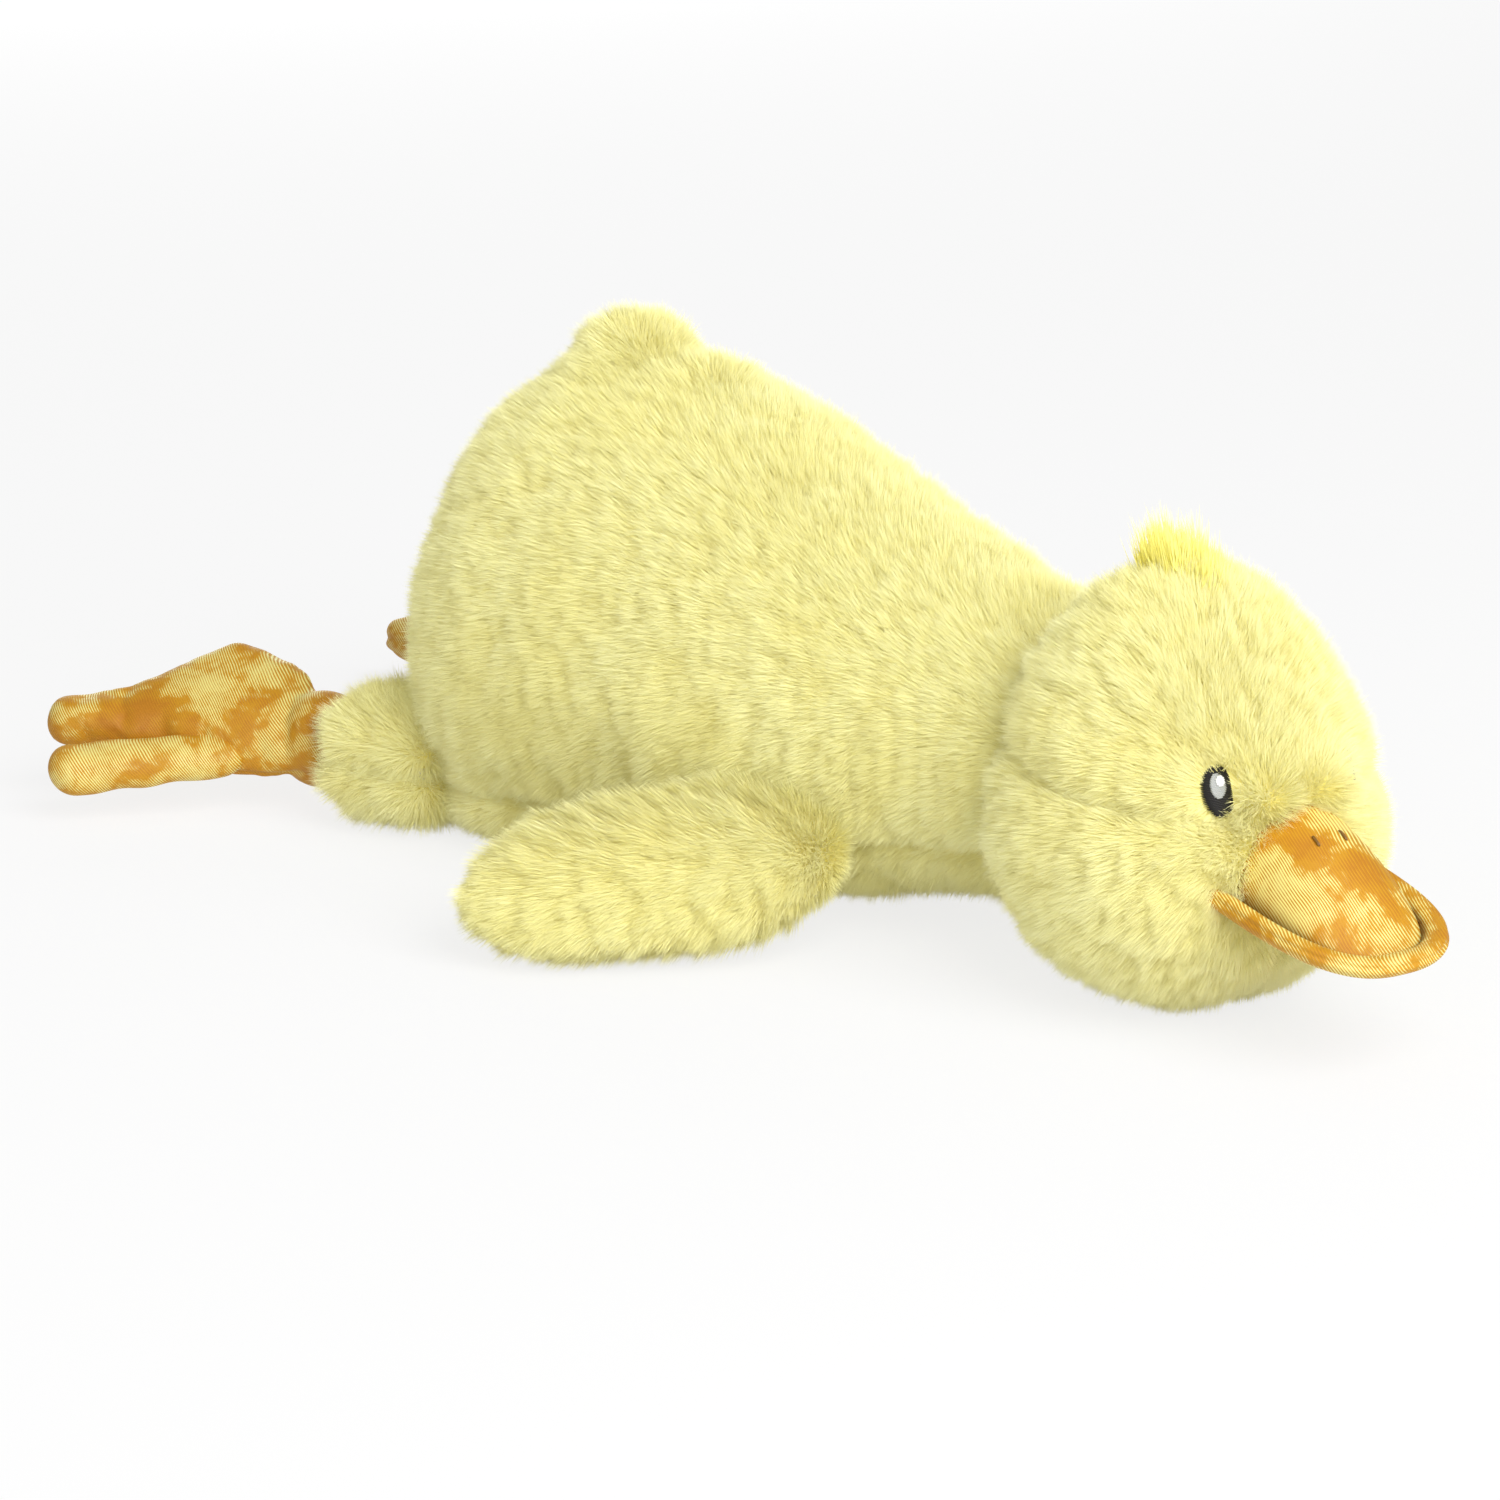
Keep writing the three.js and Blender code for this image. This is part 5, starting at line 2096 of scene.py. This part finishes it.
@dataclass
class Eye:
    """An embroidered eye: black, with a grey highlight and a white glint, on a padded oval."""

    side: Side
    width: float = 10.2
    height: float = 13.0
    lean: float = 8
    proud: float = -2.7
    sunk: float = 0.9
    pad: float = 4.5
    glint: float = 2.6

    def _laid(self, made: bpy.types.Object, head: Head, surface: BVHTree, lift: float,
              middle: tuple[float, float]) -> None:
        """Lays flat stitching on the head, domed so that its edge sinks into the pile.

        Args:
            made: The stitching, about its own origin.
            head: The head.
            surface: The head's surface.
            lift: How far the middle stands off the surface.
            middle: Where its middle lies on the eye.
        """
        frame = head.eye_frame(self.side)
        out = frame.to_3x3() @ Vector((0, 0, 1))
        sign = -self.side.value
        tilt = Matrix.Rotation(math.radians(sign * self.lean), 2)
        moved = []
        for vertex in made.data.vertices:
            flat = Vector((vertex.co.x + sign * middle[0], vertex.co.y + middle[1]))
            edge = (2 * flat.x / self.width) ** 2 + (2 * flat.y / self.height) ** 2
            u, v = tilt @ flat
            start = frame @ Vector((u, v, 200))
            spot, normal, _, _ = surface.ray_cast(start, -out)
            sunk = self.sunk * min(edge, 1.4) ** 2
            moved.append(spot + normal * (vertex.co.z + lift - sunk))
        place(made.data, np.array(moved))

    def _pad(self) -> bpy.types.Object:
        """A closed oval pad under the stitches, flat about its own origin."""
        return ball("eye_pad", Vector(), Vector((self.width * 0.49, self.height * 0.49, self.pad)),
                    segments=(32, 16))

    def dress(self, head: Head, sewing: Embroidery, finishes: Finishes) -> None:
        """Sews the three layers and finishes them.

        Args:
            head: The head that carries the eye.
            sewing: Sews the ovals.
            finishes: The duck's finishes.
        """
        surface = head.surface()
        layers = (
            ("eye", "black_thread", finishes.black_thread, self.width, self.height, 0.0, (0.0, 0.0)),
            ("eye_highlight", "grey_thread", finishes.grey_thread, self.width * 0.45, self.height * 0.47,
             0.45, (-0.4, 1.2)),
            ("eye_glint", "white_thread", finishes.white_thread, self.glint, self.glint, 0.9, (0.4, 2.2)),
        )
        for i, (word, slot, finish, width, height, lift, middle) in enumerate(layers):
            made = sewing.sew(word + "_rows", width, height, finish, 60 + i)
            self._laid(made, head, surface, self.proud + lift, middle)
            if word == "eye":
                pad = self._pad()
                self._laid(pad, head, surface, self.proud + 0.2 - self.pad, (0, 0))
                made = joined("eye_whole", [made, pad])
                made.data.materials.clear()
                made.data.materials.append(finish)
            made.data.transform(TO_FRAME @ HEAD_PLACE)
            smooth(made.data)
            Piece(f"{self.side.label}_{word}", "head", slot).finish(made)


@dataclass
class Nostril:
    """A short slanting row of stitches, to one side of the middle of the bill's dome."""

    side: Side
    length: float = 4.0
    width: float = 0.7
    spacing: float = 9
    back: float = 36
    slant: float = 2

    def dress(self, bill: Bill, sewing: Embroidery, finishes: Finishes) -> None:
        """Sews the stitches on the dome.

        Args:
            bill: The bill that carries them.
            sewing: Sews them.
            finishes: The duck's finishes.
        """
        made = sewing.sew("nostril_rows", self.length, self.width, finishes.brown_thread, 71)
        surface = bill.surface()
        turn = Matrix.Rotation(math.radians(self.side.value * self.slant), 2)
        ahead, aside = bill.sink + bill.length - self.back, self.side.value * self.spacing / 2
        moved = []
        for vertex in made.data.vertices:
            u, v = turn @ Vector((vertex.co.x, vertex.co.y))
            start = Vector((ahead + u, aside + v, 90))
            spot, normal, _, _ = surface.ray_cast(start, Vector((0, 0, -1)))
            sunk = 0.5 * (2 * vertex.co.x / self.length) ** 4
            moved.append(spot + normal * (vertex.co.z + 0.25 - sunk))
        place(made.data, np.array(moved))
        made.data.transform(TO_FRAME @ HEAD_PLACE @ bill.frame)
        smooth(made.data)
        Piece(f"{self.side.label}_nostril", "head", "brown_thread").finish(made)


def fill_in(frame: dict, finishes: Finishes) -> None:
    """Gives the filling inside each cover its look.

    Args:
        frame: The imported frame.
        finishes: The duck's finishes.
    """
    for name, solid in frame["nodes"].items():
        if name.endswith("_filling"):
            solid.data.materials.clear()
            solid.data.materials.append(finishes.filling)
            LOG.info("%s: fibre", name)


@dataclass(frozen=True)
class Lamp:
    """A soft square lamp: where it stands, its width in metres and its power in watts."""

    name: str
    spot: tuple[float, float, float]
    size: float
    power: float

    def stand(self, target: Vector) -> None:
        """Sets the lamp up, turned to a target."""
        data = bpy.data.lights.new(self.name, "AREA")
        data.size = self.size
        data.energy = self.power
        lamp = bpy.data.objects.new(self.name, data)
        lamp.location = self.spot
        lamp.rotation_euler = (target - Vector(self.spot)).to_track_quat("-Z", "Y").to_euler()
        bpy.context.scene.collection.objects.link(lamp)


@dataclass
class Studio:
    """A pale floor, a pale backdrop, soft light and the photograph's view."""

    azimuth: float = 43.0
    elevation: float = 15.5
    distance: float = 1.5
    target: Vector = field(default_factory=lambda: Vector((-0.03015, 0, 0.060)))
    pixels: int = 1500
    focal: float = 5175
    aimed: tuple[float, float] = (745, 651)
    ambient: float = 0.37
    glow: float = 0.8
    lamps: tuple[Lamp, ...] = (
        Lamp("key", (1.2, -0.34, 1.0), 1.2, 24.5),
        Lamp("fill", (0.5, -1.9, 0.9), 1.6, 6),
        Lamp("back", (-1.7, 1.3, 0.5), 1.4, 14),
    )

    def build(self) -> None:
        """Sets up the whole studio."""
        self._floor()
        self._world()
        for lamp in self.lamps:
            lamp.stand(self.target)
        self._camera()
        view = bpy.context.scene.view_settings
        view.view_transform = "Standard"

    def _floor(self) -> None:
        """A wide floor that is white to the camera and still takes a soft shadow."""
        floor = mesh_of("floor", [(-6, -6, 0), (6, -6, 0), (6, 6, 0), (-6, 6, 0)], [(0, 1, 2, 3)])
        material = bpy.data.materials.new("white_floor")
        material.use_nodes = True
        nodes = material.node_tree
        tree = Tree(nodes)
        paint = nodes.nodes["Principled BSDF"]
        paint.inputs["Base Color"].default_value = (0.86, 0.86, 0.86, 1)
        paint.inputs["Roughness"].default_value = 0.9
        glow = tree.node("ShaderNodeEmission", {}, {"Color": (1, 1, 1, 1), "Strength": 1.0})
        ray = tree.node("ShaderNodeLightPath")
        seen = Value(tree, ray.outputs["Is Camera Ray"]) + Value(tree, ray.outputs["Is Glossy Ray"])
        both = tree.node("ShaderNodeMixShader", {}, {
            0: seen.clamped() * self.glow,
            1: Value(tree, paint.outputs[0]),
            2: Value(tree, glow.outputs[0]),
        })
        nodes.links.new(both.outputs[0], nodes.nodes["Material Output"].inputs[0])
        floor.data.materials.append(material)
        floor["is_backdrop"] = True

    def _world(self) -> None:
        """White all round: the backdrop, and soft light that is weaker than it."""
        world = bpy.data.worlds.new("studio")
        bpy.context.scene.world = world
        world.use_nodes = True
        nodes = world.node_tree
        tree = Tree(nodes)
        ray = tree.node("ShaderNodeLightPath")
        seen = tree.ramp(Value(tree, ray.outputs["Is Camera Ray"]), 0, 1)
        strength = seen * (1 - self.ambient) + self.ambient
        back = nodes.nodes["Background"]
        back.inputs["Color"].default_value = (1, 1, 1, 1)
        tree.put(back.inputs["Strength"], strength)

    def _camera(self) -> None:
        """The photograph's view, with a small shift so that the duck lies where it does there."""
        level = cosine(self.elevation)
        away = Vector((-sine(self.azimuth) * level, cosine(self.azimuth) * level, -sine(self.elevation)))
        data = bpy.data.cameras.new("camera")
        camera = bpy.data.objects.new("camera", data)
        camera.location = self.target - away * self.distance
        camera.rotation_euler = away.to_track_quat("-Z", "Y").to_euler()
        data.sensor_width = 36
        data.lens = 36 * self.focal / self.pixels
        data.shift_x = 0.5 - self.aimed[0] / self.pixels
        data.shift_y = self.aimed[1] / self.pixels - 0.5
        data.clip_start, data.clip_end = 0.05, 50
        bpy.context.scene.collection.objects.link(camera)
        bpy.context.scene.camera = camera


def corners(box: tuple[Vector, Vector]) -> list[list[float]]:
    """A box's corners as plain lists."""
    return [list(corner) for corner in box]


def main() -> None:
    """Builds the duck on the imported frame, and the studio round it."""
    logging.basicConfig(level=logging.INFO, format="%(message)s")
    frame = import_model()
    packed = corners(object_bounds())
    finishes = Finishes.make()
    furrier = Furrier(PileGrower(), finishes)
    trunk, head, bill = Trunk(), Head(), Bill()
    limbs = [make(side) for side in Side for make in (wing, cuff)]
    feet = [Foot.make(side) for side in Side]
    trunk_form, head_form = trunk.form(), head.form()
    limb_forms = [limb.form() for limb in limbs]
    foot_forms = [foot.form() for foot in feet]
    swell({
        trunk_form: (trunk.stuffing, trunk.seams()),
        head_form: (head.stuffing, head.seams()),
        **{made: (limb.stuffing, [from_plane(*limb.plane())]) for made, limb in zip(limb_forms, limbs)},
        **{made: (foot.stuffing, [from_plane(*foot.plane())]) for made, foot in zip(foot_forms, feet)},
    })
    trunk.dress(trunk_form, furrier)
    head.dress(head_form, furrier)
    Tuft().dress(head, furrier)
    for made, limb in zip(limb_forms, limbs):
        limb.dress(made, furrier)
    for made, foot in zip(foot_forms, feet):
        foot.dress(made, finishes)
    bill.dress(finishes)
    sewing = Embroidery()
    for side in Side:
        Eye(side).dress(head, sewing, finishes)
        Nostril(side).dress(bill, sewing, finishes)
    fill_in(frame, finishes)
    Studio().build()
    {"packed": packed, "dressed": corners(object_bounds())}


if __name__ == "__main__":
    main()
